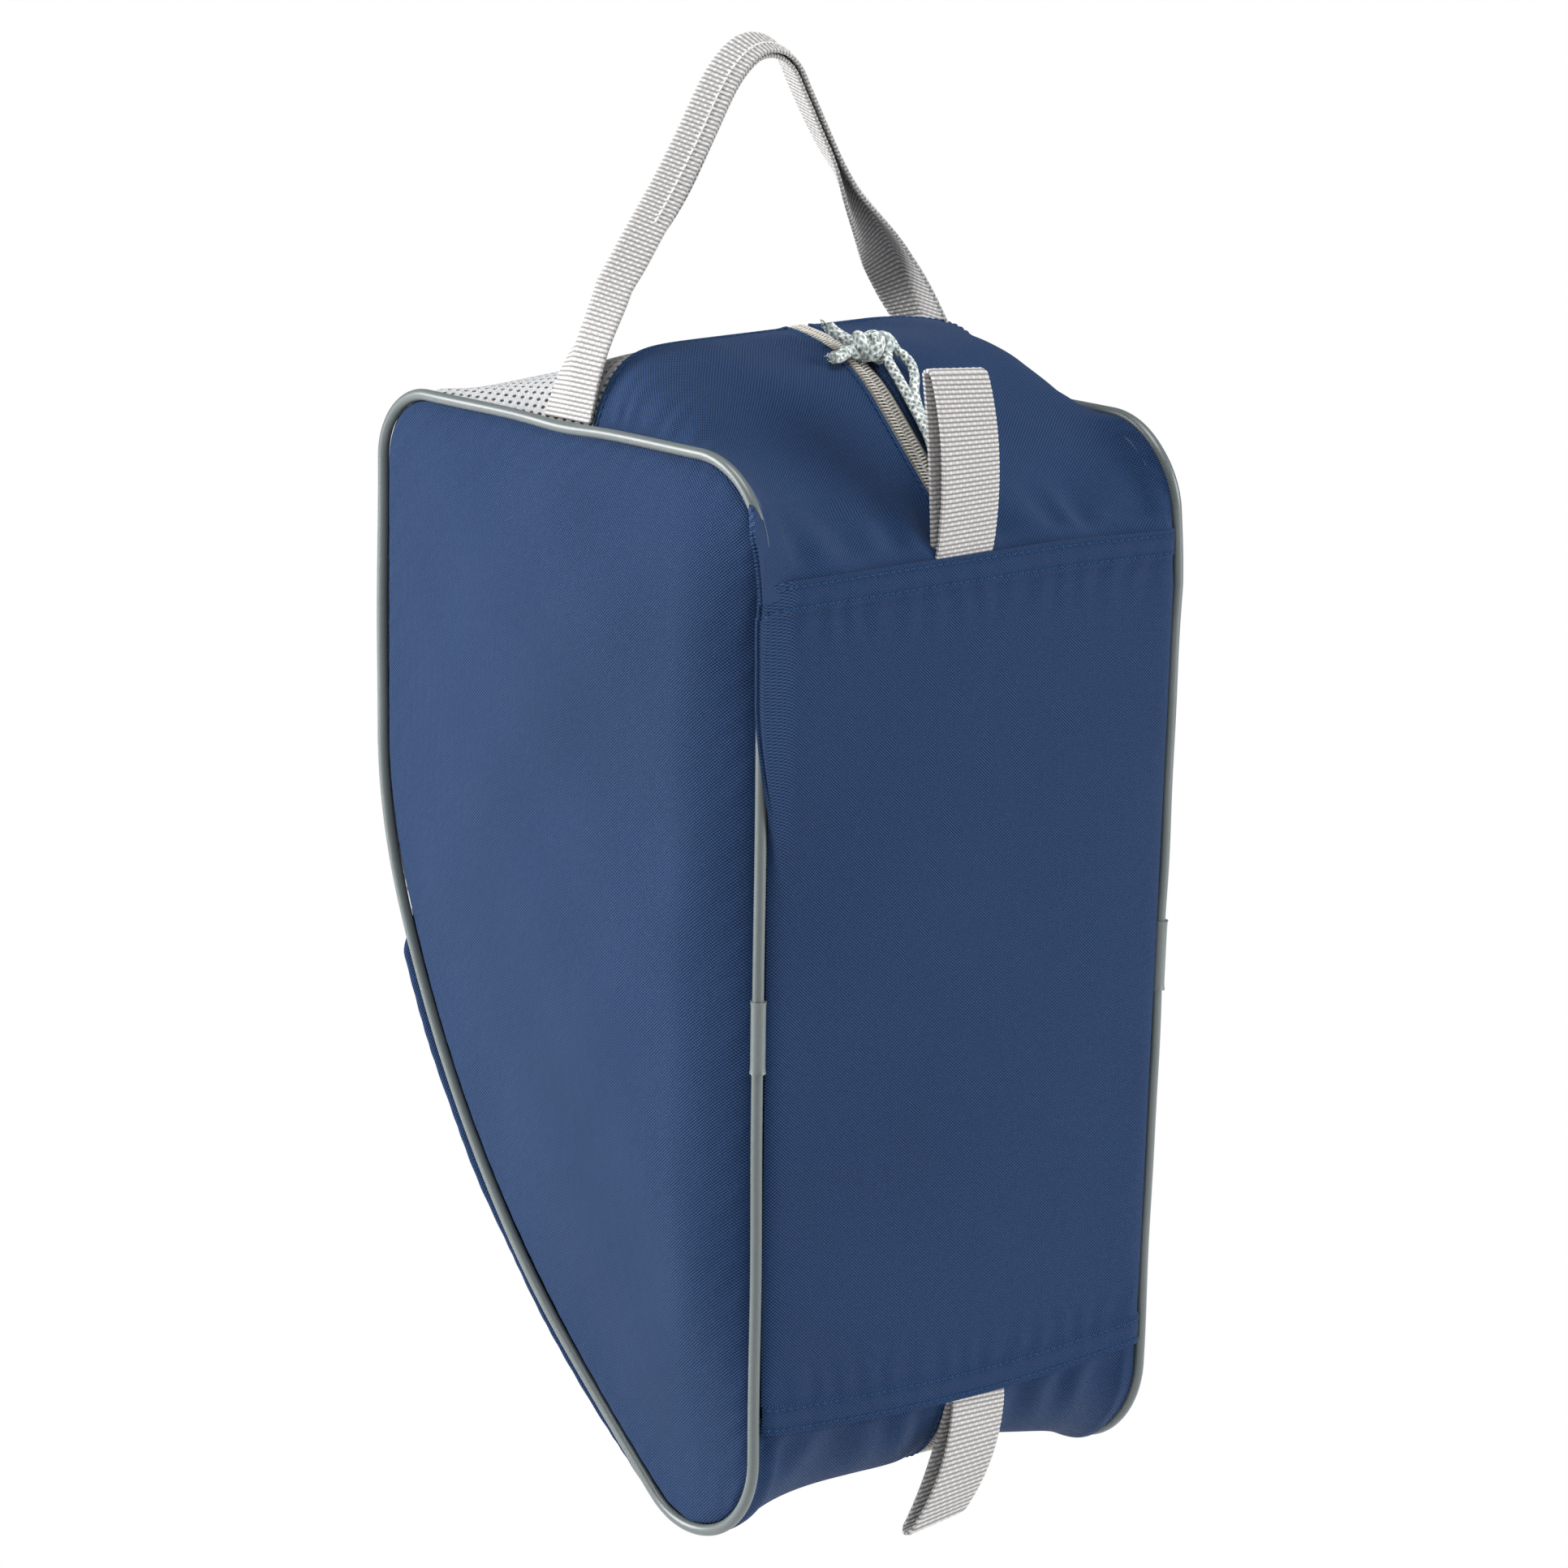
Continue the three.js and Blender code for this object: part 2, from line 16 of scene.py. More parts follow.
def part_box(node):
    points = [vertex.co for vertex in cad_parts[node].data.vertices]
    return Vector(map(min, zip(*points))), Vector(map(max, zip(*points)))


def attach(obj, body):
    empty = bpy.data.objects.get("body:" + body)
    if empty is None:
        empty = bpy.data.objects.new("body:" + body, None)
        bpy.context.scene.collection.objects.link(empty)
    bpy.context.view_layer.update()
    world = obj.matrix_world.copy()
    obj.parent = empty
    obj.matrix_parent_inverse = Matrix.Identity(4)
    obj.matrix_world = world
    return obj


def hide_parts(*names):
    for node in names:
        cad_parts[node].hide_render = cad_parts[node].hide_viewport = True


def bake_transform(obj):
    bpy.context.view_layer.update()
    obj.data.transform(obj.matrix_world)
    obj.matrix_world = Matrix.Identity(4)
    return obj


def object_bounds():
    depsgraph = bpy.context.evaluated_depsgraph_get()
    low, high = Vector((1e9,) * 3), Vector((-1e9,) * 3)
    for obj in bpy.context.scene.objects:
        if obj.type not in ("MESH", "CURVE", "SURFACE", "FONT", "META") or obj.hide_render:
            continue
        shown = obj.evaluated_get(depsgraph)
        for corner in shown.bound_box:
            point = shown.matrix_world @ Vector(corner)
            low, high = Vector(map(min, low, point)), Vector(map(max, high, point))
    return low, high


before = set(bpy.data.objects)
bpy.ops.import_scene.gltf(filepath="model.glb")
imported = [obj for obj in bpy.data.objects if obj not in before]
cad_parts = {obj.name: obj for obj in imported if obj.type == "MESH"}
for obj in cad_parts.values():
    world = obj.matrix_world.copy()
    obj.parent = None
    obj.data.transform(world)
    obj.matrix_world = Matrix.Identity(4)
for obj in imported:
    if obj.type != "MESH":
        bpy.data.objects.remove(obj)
cad_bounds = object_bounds()

# ---- driving sizes, in millimetres ----

MM = 0.001
BASE_LOW, BASE_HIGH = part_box("base_panel")
BAG_ORIGIN = np.array([0, BASE_LOW.y, (BASE_LOW.z + BASE_HIGH.z) / 2])
SLEEVE_RADIUS = 2.6
SLEEVE_LENGTH = 23.5
SLEEVE_Z = -7
HALF_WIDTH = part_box("piping_sleeve_right")[1].x / MM - SLEEVE_RADIUS
PIPING_RADIUS = 1.9
PIPING_Y = 2.8
EDGE = HALF_WIDTH - PIPING_RADIUS - 0.4     # where the gusset meets the piping
BAG_DEPTH = 196.6
SEAM_Z = 139
HEEL_Z = 176
HEEL_RADIUS = 30
SHOULDER_RADIUS = 24
TOE_RADIUS = 30
TOE_Z = -147.5
TOE_CORNER = -0.892
MESH_TOP_Y = 90
FLAP_TOP_Z = 140
BACK_CURVE_Z = 60
MESH_END = np.array([184.0, 0.0])
MESH_END_SLOPE = np.array([-0.359, -0.933])
ZIP_TOP_Z = 201
ZIP_BACK_Y = BAG_DEPTH + 8
ZIP_WINDOW = 4.8                            # the cloth stops this far from the zip's middle
HANDLE_Y = 99
LEAN_MIDDLE = -0.016
LEAN = 0.0004                               # how the right side's x grows with height, per millimetre
HEEL_PINCH = 0.0009                         # and how it draws in again towards the heel
SAG = 5.0                                   # how far the right shoulder hangs below the left
WEBBING_WIDTH = 25.4
LOOP_WIDTH = 24.0
WEBBING_THICKNESS = 1.5
RIB = 1.5                                   # pitch of the webbing's ribs
DOT = 2.82                                  # pitch of the dots along a rib
CORD_RADIUS = 1.65
KNOT_CORD_RADIUS = 2.0
SLIDER_REST = 15
STITCH_PITCH = 2.9
STITCH_LENGTH = 2.2
STITCH_RADIUS = 0.36
MESH_PITCH_ALONG = 4.4
MESH_PITCH_ACROSS = 2.7
PLAIT = 2.3
TUCK = 5.0                                  # how far the gussets reach in under the base's hems
LIP_OUT = 12.3                              # how far the left edge's cloth rolls out over the piping
LIP_FORWARD = 2.2
GUSSET_LIP_FORWARD = 5.2
PANEL_ROWS = 240
PANEL_COLUMNS = 120
HEM_ROWS = (1.9, 8.3)
COIL_PITCH = 1.3
COIL_WIRE = 0.34
PANEL_CROWN = 11
PANEL_THICKNESS = 3.0
GUSSET_THICKNESS = 1.1
BASE_THICKNESS = 1.3
VENT_THICKNESS = 1.3
SPANS = ("heel", "shoulder", "flap", "toe")
SIDES = (("left", -1), ("right", 1))
rng = np.random.default_rng(7)


def place(points):
    """From the bag's millimetres to the row's metres. The bag's right side leans in towards the toe."""
    points = np.array(points, float)
    height = np.clip(points[..., 2], -170, 168)
    wider = 1 + LEAN_MIDDLE + LEAN * height - HEEL_PINCH * np.maximum(height - 118, 0)
    sag = SAG * smoothstep(points[..., 0], 30, 88) * smoothstep(points[..., 2], 110, 176)
    points[..., 0] *= np.where(points[..., 0] > 0, wider, 1)
    points[..., 2] -= sag
    return BAG_ORIGIN + points * MM


# ---- lines ----


def arc(centre, radius, start, end, count=40):
    turn = np.linspace(start, end, count)
    return np.column_stack([centre[0] + radius * np.cos(turn), centre[1] + radius * np.sin(turn)])


def bezier(a, b, c, d, count=60):
    t = np.linspace(0, 1, count)[:, None]
    a, b, c, d = (np.asarray(p, float) for p in (a, b, c, d))
    return (1 - t) ** 3 * a + 3 * (1 - t) ** 2 * t * b + 3 * (1 - t) * t**2 * c + t**3 * d


def joined(*parts):
    points = np.vstack([np.atleast_2d(np.asarray(part, float)) for part in parts])
    apart = np.linalg.norm(np.diff(points, axis=0), axis=1) > 1e-6
    return points[np.r_[True, apart]]


def length_of(line):
    return np.linalg.norm(np.diff(line, axis=0), axis=1).sum()


def distances(line):
    """How far along a line each of its points is."""
    return np.r_[0, np.cumsum(np.linalg.norm(np.diff(line, axis=0), axis=1))]


def along(line, shares):
    """Points of a line at shares of its length."""
    steps = distances(line)
    wanted = np.asarray(shares) * steps[-1]
    return np.column_stack([np.interp(wanted, steps, line[:, k]) for k in range(line.shape[1])])


def smooth_line(points, count):
    """A Catmull-Rom curve through the points, evenly spaced."""
    p = np.asarray(points, float)
    p = np.vstack([2 * p[0] - p[1], p, 2 * p[-1] - p[-2]])
    t = np.linspace(0, 1, 16, endpoint=False)[:, None]
    parts = []
    for a, b, c, d in zip(p, p[1:], p[2:], p[3:]):
        parts.append(0.5 * (2 * b + (c - a) * t + (2 * a - 5 * b + 4 * c - d) * t**2
                            + (3 * b - a - 3 * c + d) * t**3))
    return along(np.vstack([*parts, p[-2]]), np.linspace(0, 1, count))


def smoothstep(x, low, high):
    t = np.clip((np.asarray(x, float) - low) / (high - low), 0, 1)
    return t * t * (3 - 2 * t)


def toe_corner():
    return np.array([PIPING_Y + TOE_RADIUS + TOE_RADIUS * math.cos(TOE_CORNER),
                     TOE_Z + TOE_RADIUS * math.sin(TOE_CORNER)])


def back_curve(y, end):
    return bezier((y, BACK_CURVE_Z), (y, BACK_CURVE_Z - 20), end - 20 * MESH_END_SLOPE, end)


def long_curve(start, end, end_slope):
    return bezier(start, start + 75 * MESH_END_SLOPE, end - 85 * np.asarray(end_slope), end)


HEEL_CENTRE = (PIPING_Y + HEEL_RADIUS, HEEL_Z - HEEL_RADIUS)
SHOULDER_CENTRE = (BAG_DEPTH - SHOULDER_RADIUS, HEEL_Z - SHOULDER_RADIUS)
TOE_CENTRE = (PIPING_Y + TOE_RADIUS, TOE_Z)

# The line of the pipings as (y, z), in four spans: heel, shoulder, down the back, and toe.
SIDE_LINE = {
    "heel": joined((PIPING_Y, SEAM_Z), arc(HEEL_CENTRE, HEEL_RADIUS, math.pi, math.pi / 2),
                   (MESH_TOP_Y, HEEL_Z)),
    "shoulder": joined((MESH_TOP_Y, HEEL_Z), arc(SHOULDER_CENTRE, SHOULDER_RADIUS, math.pi / 2, 0),
                       (BAG_DEPTH, FLAP_TOP_Z)),
    "flap": joined((BAG_DEPTH, FLAP_TOP_Z), back_curve(BAG_DEPTH, MESH_END)),
    "toe": joined(long_curve(MESH_END, toe_corner(), (math.sin(TOE_CORNER), -math.cos(TOE_CORNER))),
                  arc(TOE_CENTRE, TOE_RADIUS, TOE_CORNER, -math.pi), (PIPING_Y, -SEAM_Z)),
}
RUN_START = np.array([3, SEAM_Z + 0.4])
RUN_END = np.array([44, 180.5])
ZIP_MESH_END = np.array([189.6, -2.2])
ZIP_TOE = np.array([44.0, -160.0])
ZIP_LINE = {
    "heel": joined(RUN_START, bezier(RUN_END, (56, 193), (70, 199.5), (MESH_TOP_Y, ZIP_TOP_Z))),
    "shoulder": joined((MESH_TOP_Y, ZIP_TOP_Z),
                       bezier((MESH_TOP_Y, ZIP_TOP_Z), (112, 193), (198, 174), (ZIP_BACK_Y, FLAP_TOP_Z))),
    "flap": joined((ZIP_BACK_Y, FLAP_TOP_Z), back_curve(ZIP_BACK_Y, ZIP_MESH_END)),
    "toe": joined(long_curve(ZIP_MESH_END, ZIP_TOE, (-0.9, -0.43)),
                  bezier(ZIP_TOE, (28, -174), (8, -169), (3, -SEAM_Z - 0.4))),
}
SWELL = {"heel": (4.0, 11.0), "shoulder": (11.0, 2.2), "flap": (2.2, 2.2), "toe": (2.2, 3.4)}
PUFF = {"heel": (0, 0), "shoulder": (0, 5.5), "flap": (5.5, 6.5), "toe": (6.5, 2.0)}

# ---- meshes ----


def new_piece(name, points, faces, uv, sharp=50, mend=True):
    """An object from points in millimetres. mend turns its faces outward and drops unused points."""
    mesh = bpy.data.meshes.new(name)
    mesh.from_pydata(place(points).tolist(), [], faces)
    corners = np.empty(len(mesh.loops), int)
    mesh.loops.foreach_get("vertex_index", corners)
    layer = mesh.uv_layers.new(name="weave")
    layer.data.foreach_set("uv", np.asarray(uv, np.float32)[corners].ravel())
    if mend:
        shape = bmesh.new()
        shape.from_mesh(mesh)
        bmesh.ops.recalc_face_normals(shape, faces=shape.faces)
        bmesh.ops.delete(shape, geom=[v for v in shape.verts if not v.link_faces], context="VERTS")
        shape.to_mesh(mesh)
        shape.free()
    mesh.shade_smooth()
    mesh.set_sharp_from_angle(angle=math.radians(sharp))
    piece = bpy.data.objects.new(name, mesh)
    bpy.context.scene.collection.objects.link(piece)
    return piece


def grid_faces(rows, columns, start=0):
    index = np.arange(rows * columns).reshape(rows, columns) + start
    corners = [index[:-1, :-1], index[:-1, 1:], index[1:, 1:], index[1:, :-1]]
    return np.stack(corners, -1).reshape(-1, 4)


def rim(rows, columns):
    index = np.arange(rows * columns).reshape(rows, columns)
    return np.concatenate([index[0], index[1:, -1], index[-1, -2::-1], index[-2:0:-1, 0]])


def slab(name, top, bottom, uv, sharp=50):
    """A sheet with a thickness, between two grids of points."""
    rows, columns = top.shape[:2]
    count = rows * columns
    edge = rim(rows, columns)
    after = np.roll(edge, -1)
    sides = np.stack([edge, edge + count, after + count, after], -1)
    faces = np.vstack([grid_faces(rows, columns), grid_faces(rows, columns, count)[:, ::-1], sides])
    points = np.vstack([top.reshape(-1, 3), bottom.reshape(-1, 3)])
    return new_piece(name, points, faces.tolist(), np.vstack([uv.reshape(-1, 2)] * 2), sharp)


def unit(vectors):
    return vectors / np.maximum(np.linalg.norm(vectors, axis=-1, keepdims=True), 1e-9)


BAG_CENTRE = np.array([0.0, 90.0, 20.0])


def grid_normals(grid):
    normals = unit(np.cross(np.gradient(grid, axis=0), np.gradient(grid, axis=1)))
    outward = np.sum(normals * (grid - BAG_CENTRE)) > 0
    return normals if outward else -normals


def declare_sheet(grid):
    """Cloth sewn in at its edges: this measures the length of the grid's last column and keeps nothing."""
    length = length_of(grid[:, -1])


def arc_uv(grid):
    """Distances along both directions of a grid, in millimetres."""
    rows = np.cumsum(np.linalg.norm(np.diff(grid, axis=0, prepend=grid[:1]), axis=-1), axis=0)
    columns = np.cumsum(np.linalg.norm(np.diff(grid, axis=1, prepend=grid[:, :1]), axis=-1), axis=1)
    middle = rows[:, rows.shape[1] // 2]
    return np.dstack([columns, np.broadcast_to(middle[:, None], columns.shape)])


def ripple(u, v, scale, waves=7):
    """Gentle unevenness: a sum of waves in random directions, about -1 to 1."""
    total = np.zeros(np.broadcast(u, v).shape)
    for _ in range(waves):
        turn, phase, size = rng.uniform(0, 2 * math.pi), rng.uniform(0, 2 * math.pi), rng.uniform(0.6, 1.6)
        total += np.sin((u * math.cos(turn) + v * math.sin(turn)) * 2 * math.pi / (scale * size) + phase)
    return total / math.sqrt(waves)


def tube(line, radius, sides=12, relief=None, step=None):
    """Points, faces and uv of a closed tube. relief gives the radius's change by turn and distance."""
    if step is not None:
        line = along(line, np.linspace(0, 1, max(4, round(length_of(line) / step))))
    tangents = unit(np.gradient(line, axis=0))
    normal = np.cross(tangents[0], (0.0, 0.0, 1.0))
    if np.linalg.norm(normal) < 0.1:
        normal = np.cross(tangents[0], (1.0, 0.0, 0.0))
    distance = distances(line)
    turn = np.linspace(0, 2 * math.pi, sides, endpoint=False)
    rings, uv = [], []
    for point, tangent, far in zip(line, tangents, distance):
        normal = unit(normal - tangent * (normal @ tangent))
        across = np.cross(tangent, normal)
        size = radius + (relief(turn, far) if relief else 0 * turn)
        outward = np.cos(turn)[:, None] * normal + np.sin(turn)[:, None] * across
        rings.append(point + size[:, None] * outward)
        uv.append(np.column_stack([turn * radius, np.full(sides, far)]))
    points = np.vstack([*rings, line[:1], line[-1:]])
    around = np.arange(sides)
    after = (around + 1) % sides
    faces = []
    for k in range(len(line) - 1):
        low, high = k * sides, (k + 1) * sides
        faces += np.stack([low + around, low + after, high + after, high + around], -1).tolist()
    last = (len(line) - 1) * sides
    start, end = len(points) - 2, len(points) - 1
    faces += [[a, b, start] for a, b in zip(after, around)]
    faces += [[last + a, last + b, end] for a, b in zip(around, after)]
    return points, faces, np.vstack([*uv, uv[0][:1], uv[-1][:1]])


def tube_piece(name, parts, sharp=70):
    """One piece made of all the tubes in parts."""
    points, faces, uv, start = [], [], [], 0
    for part_points, part_faces, part_uv in parts:
        points.append(part_points)
        uv.append(part_uv)
        faces += [[i + start for i in face] for face in part_faces]
        start += len(part_points)
    return new_piece(name, np.vstack(points), faces, np.vstack(uv), sharp, mend=False)


def stitch_row(name, line, normals, material, slot, body="bag"):
    """A row of lockstitches lying on a surface: each dips into the cloth at both ends."""
    total = length_of(line)
    count = int(total // STITCH_PITCH)
    share = np.linspace(0, 1, len(line))
    parts = []
    for k in range(count):
        start = (k + 0.2) * STITCH_PITCH / total
        at = np.linspace(start, start + STITCH_LENGTH / total, 6)
        points = along(line, at)
        lift = np.column_stack([np.interp(at, share, normals[:, j]) for j in range(3)])
        height = 0.3 * np.sin(np.linspace(0, math.pi, 6)) - 0.12
        parts.append(tube(points + lift * height[:, None], STITCH_RADIUS, sides=6))
    return finish_piece(tube_piece(name, parts), material, slot, body)


# ---- materials ----


class Paint:
    """A material with a Principled shader and short calls for its pattern nodes."""

    def __init__(self, name, **constants):
        self.material = bpy.data.materials.new(name)
        self.material.use_nodes = True
        self.tree = self.material.node_tree
        self.shader = self.tree.nodes["Principled BSDF"]
        for socket, value in constants.items():
            self.shader.inputs[socket.replace("_", " ")].default_value = value

    def node(self, kind, **settings):
        made = self.tree.nodes.new("ShaderNode" + kind)
        for key, value in settings.items():
            setattr(made, key, value)
        return made

    def link(self, source, target):
        self.tree.links.new(source, target)

    def math(self, operation, a, b=None, c=None):
        made = self.node("Math", operation=operation)
        for socket, value in zip(made.inputs, (a, b, c)):
            if isinstance(value, bpy.types.NodeSocket):
                self.link(value, socket)
            elif value is not None:
                socket.default_value = value
        return made.outputs[0]

    def flat(self):
        """The two distances of the cloth's own map, in millimetres."""
        split = self.node("SeparateXYZ")
        self.link(self.node("UVMap", uv_map="weave").outputs[0], split.inputs[0])
        return split.outputs[0], split.outputs[1]

    def wave(self, distance, pitch, phase=0.0):
        return self.math("SINE", self.math("MULTIPLY_ADD", distance, 2 * math.pi / pitch, phase))

    def noise(self, scale, detail=3.0, stretch=(1, 1, 1)):
        """Noise in the object's own coordinates; scale is in cells per metre."""
        shift = self.node("Mapping")
        shift.inputs["Scale"].default_value = stretch
        self.link(self.node("TexCoord").outputs["Object"], shift.inputs[0])
        made = self.node("TexNoise")
        self.link(shift.outputs[0], made.inputs["Vector"])
        made.inputs["Scale"].default_value = scale
        made.inputs["Detail"].default_value = detail
        return made.outputs[0]

    def ramp(self, value, *stops):
        made = self.node("ValToRGB")
        elements = made.color_ramp.elements
        while len(elements) < len(stops):
            elements.new(0.5)
        for element, (place_at, colour) in zip(elements, stops):
            element.position = place_at
            element.color = (*colour, 1)
        self.link(value, made.inputs[0])
        return made.outputs[0]

    def tint(self, colour, low, high, value):
        """The colour, brightened or darkened between low and high by a value from 0 to 1."""
        scale = self.math("MULTIPLY_ADD", value, high - low, low)
        mix = self.node("VectorMath", operation="SCALE")
        self.link(colour, mix.inputs[0])
        self.link(scale, mix.inputs["Scale"])
        return mix.outputs[0]

    def colour(self, socket):
        self.link(socket, self.shader.inputs["Base Color"])

    def roughness(self, value, low, high):
        self.link(self.math("MULTIPLY_ADD", value, high - low, low), self.shader.inputs["Roughness"])

    def bump(self, height, millimetres, strength=1.0):
        made = self.node("Bump")
        made.inputs["Distance"].default_value = millimetres * MM
        made.inputs["Strength"].default_value = strength
        self.link(height, made.inputs["Height"])
        self.link(made.outputs[0], self.shader.inputs["Normal"])


def woven(name, dark, light, pitch_u, pitch_v, depth, **constants):
    """Plain weave: raised threads alternate, in a chequer of pitch_u by pitch_v. Its colour follows their
    height: painted light on the raised threads, painted shade on the sunk ones, over the thread's own colour.
    """
    paint = Paint(name, **constants)
    u, v = paint.flat()
    chequer = paint.math("MULTIPLY", paint.wave(u, pitch_u), paint.wave(v, pitch_v))
    height = paint.math("MULTIPLY_ADD", chequer, 0.5, 0.5)
    slub = paint.noise(900, 2.0)
    worn = paint.noise(11, 4.0)
    middle = tuple((a + b) / 2 for a, b in zip(dark, light))
    # painted light and shade of the weave: lit colour on the raised threads, shaded colour on the sunk ones
    colour = paint.ramp(height, (0.05, dark), (0.5, middle), (0.95, light))
    colour = paint.tint(colour, 0.8, 1.2, slub)
    colour = paint.tint(colour, 0.86, 1.14, worn)
    paint.colour(colour)
    paint.roughness(height, 0.82, 0.6)
    paint.bump(paint.math("MULTIPLY_ADD", slub, 0.25, height), depth, 0.8)
    return paint.material


def webbing_paint(name):
    """Ribbed webbing: pale ribs, with painted shade darkening the pits between the dots of each rib."""
    paint = Paint(name, Sheen_Weight=0.15, Sheen_Roughness=0.5)
    u, v = paint.flat()
    rib = paint.math("MULTIPLY_ADD", paint.wave(v, RIB, -math.pi / 2), 0.5, 0.5)
    row = paint.math("FLOOR", paint.math("DIVIDE", v, RIB))
    shift = paint.math("MULTIPLY", row, math.pi)
    turn = paint.math("MULTIPLY_ADD", u, 2 * math.pi / DOT, shift)
    once = paint.math("MULTIPLY_ADD", paint.math("SINE", turn), 0.3, 0.3)
    twice = paint.math("MULTIPLY_ADD", paint.math("COSINE", paint.math("MULTIPLY", turn, 2.0)), -0.2, 0.2)
    dots = paint.math("ADD", once, twice)
    height = paint.math("MULTIPLY", rib, paint.math("MULTIPLY_ADD", dots, 0.65, 0.35))
    fibre = paint.wave(v, 0.3)
    # painted shade: the colour darkens with depth, in the pits and between the ribs
    colour = paint.ramp(height, (0.0, (0.19, 0.185, 0.18)), (0.25, (0.38, 0.37, 0.365)),
                        (0.7, (0.64, 0.627, 0.622)))
    colour = paint.tint(colour, 0.85, 1.12, paint.noise(1500, 2.0))
    paint.colour(paint.tint(colour, 0.95, 1.05, paint.noise(30, 3.0)))
    paint.roughness(height, 0.85, 0.65)
    paint.bump(paint.math("MULTIPLY_ADD", fibre, 0.08, height), 0.35, 0.7)
    return paint.material


def knit_paint(name):
    """Knitted mesh: slanting stitches that change direction from one wale to the next."""
    paint = Paint(name, Sheen_Weight=0.2, Sheen_Roughness=0.5)
    u, v = paint.flat()
    wale = paint.math("FLOOR", paint.math("DIVIDE", v, MESH_PITCH_ALONG / 2))
    lean = paint.math("SUBTRACT", paint.math("MULTIPLY", paint.math("FLOORED_MODULO", wale, 2.0), 2.0), 1.0)
    slant = paint.math("MULTIPLY_ADD", v, lean, u)
    stitch = paint.math("MULTIPLY_ADD", paint.wave(slant, 0.62), 0.5, 0.5)
    # painted light and shade: the colour follows the stitch relief, lighter on the raised stitches and darker
    # between them
    colour = paint.ramp(stitch, (0.0, (0.3, 0.31, 0.32)), (0.45, (0.46, 0.465, 0.475)),
                        (1.0, (0.62, 0.625, 0.63)))
    paint.colour(paint.tint(colour, 0.88, 1.1, paint.noise(1200, 2.0)))
    paint.roughness(stitch, 0.9, 0.7)
    paint.bump(stitch, 0.25, 0.8)
    return paint.material


def vinyl_paint(name, colour):
    paint = Paint(name, Coat_Weight=0.25, Coat_Roughness=0.3, IOR=1.5)
    grain = paint.noise(900, 4.0)
    shade = paint.ramp(grain, (0.2, colour), (0.8, tuple(1.12 * c for c in colour)))
    paint.colour(paint.tint(shade, 0.92, 1.08, paint.noise(25, 3.0)))
    paint.roughness(grain, 0.3, 0.44)
    paint.bump(grain, 0.05, 0.4)
    return paint.material


def braid_paint(name):
    """Braided cord: grey green plaits flecked with white, with painted shade in the grooves between the
    plaits.
    """
    paint = Paint(name, Sheen_Weight=0.3, Sheen_Roughness=0.4)
    u, v = paint.flat()
    one = paint.math("ADD", paint.math("MULTIPLY", u, 4 / CORD_RADIUS), paint.math("MULTIPLY", v, PLAIT))
    two = paint.math("SUBTRACT", paint.math("MULTIPLY", u, 4 / CORD_RADIUS), paint.math("MULTIPLY", v, PLAIT))
    plait = paint.math("MAXIMUM", paint.math("SINE", one), paint.math("SINE", two))
    height = paint.math("MULTIPLY_ADD", plait, 0.5, 0.5)
    fleck = paint.noise(700, 2.0)
    pale = paint.ramp(fleck, (0.38, (0.27, 0.34, 0.33)), (0.5, (0.5, 0.56, 0.54)), (0.62, (0.86, 0.88, 0.86)))
    # painted shade: the colour falls to 0.3 of itself in the grooves between plaits
    paint.colour(paint.tint(pale, 0.3, 1.12, height))
    paint.roughness(fleck, 0.6, 0.85)
    paint.bump(paint.math("MULTIPLY_ADD", paint.wave(v, 0.3), 0.06, height), 0.25, 0.8)
    return paint.material


def plain_paint(name, grain, stops, rough, **constants):
    """A colour and a roughness that both follow one noise."""
    paint = Paint(name, **constants)
    shade = paint.noise(*grain)
    paint.colour(paint.ramp(shade, *stops))
    paint.roughness(shade, *rough)
    return paint.material


# the cloth's navy in painted shade for the sunk threads and in painted light for the raised threads
CLOTH_SHADED_NAVY = (0.002, 0.008, 0.028)
CLOTH_LIT_NAVY = (0.022, 0.06, 0.158)

cloth = woven("navy_cloth", CLOTH_SHADED_NAVY, CLOTH_LIT_NAVY, 1.2, 1.06, 0.3, Sheen_Weight=0.05, Sheen_Roughness=0.5,
              Specular_IOR_Level=0.09)
# in each weave below, the first colour is painted shade on the sunk threads and the second is painted light
# on the raised ones
thread = woven("navy_thread", (0.008, 0.03, 0.08), (0.025, 0.07, 0.17), 0.6, 0.5, 0.05,
               Specular_IOR_Level=0.1)
pale_thread = woven("pale_thread", (0.6, 0.59, 0.57), (0.82, 0.81, 0.79), 0.5, 0.5, 0.05,
                    Sheen_Weight=0.2)
tape_cloth = woven("stone_tape", (0.3, 0.28, 0.25), (0.58, 0.55, 0.5), 0.8, 0.7, 0.15, Sheen_Weight=0.1)
binding = woven("binding_tape", (0.006, 0.016, 0.05), (0.03, 0.07, 0.18), 1.0, 1.0, 0.2, Sheen_Weight=0.1)
webbing = webbing_paint("webbing")
knit = knit_paint("knitted_mesh")
vinyl = vinyl_paint("grey_vinyl", (0.1, 0.118, 0.119))
sleeve_vinyl = vinyl_paint("sleeve_vinyl", (0.12, 0.14, 0.14))
braid = braid_paint("braided_cord")
nylon = plain_paint("zip_nylon", (600, 3.0), ((0.3, (0.46, 0.44, 0.4)), (0.7, (0.66, 0.64, 0.59))),
                    (0.38, 0.55), Coat_Weight=0.2, Coat_Roughness=0.35)
metal = plain_paint("nickel", (400, 5.0, (1, 8, 1)), ((0.3, (0.28, 0.29, 0.3)), (0.7, (0.42, 0.43, 0.44))),
                    (0.25, 0.45), Metallic=0.9)


def finish_piece(piece, material, slot, body, *nodes):
    piece.data.materials.append(material)
    if body:
        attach(piece, body)
    if nodes:
        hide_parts(*nodes)
    return piece


# ---- camera ----

CAMERA_AZIMUTH = math.radians(-41)
CAMERA_ELEVATION = math.radians(12.62)
CAMERA_ROLL = math.radians(0.71)
CAMERA_DISTANCE = 2.222
CAMERA_TARGET = Vector((-0.0740, -0.0905, -0.2188))
CAMERA_LENS = 161.55


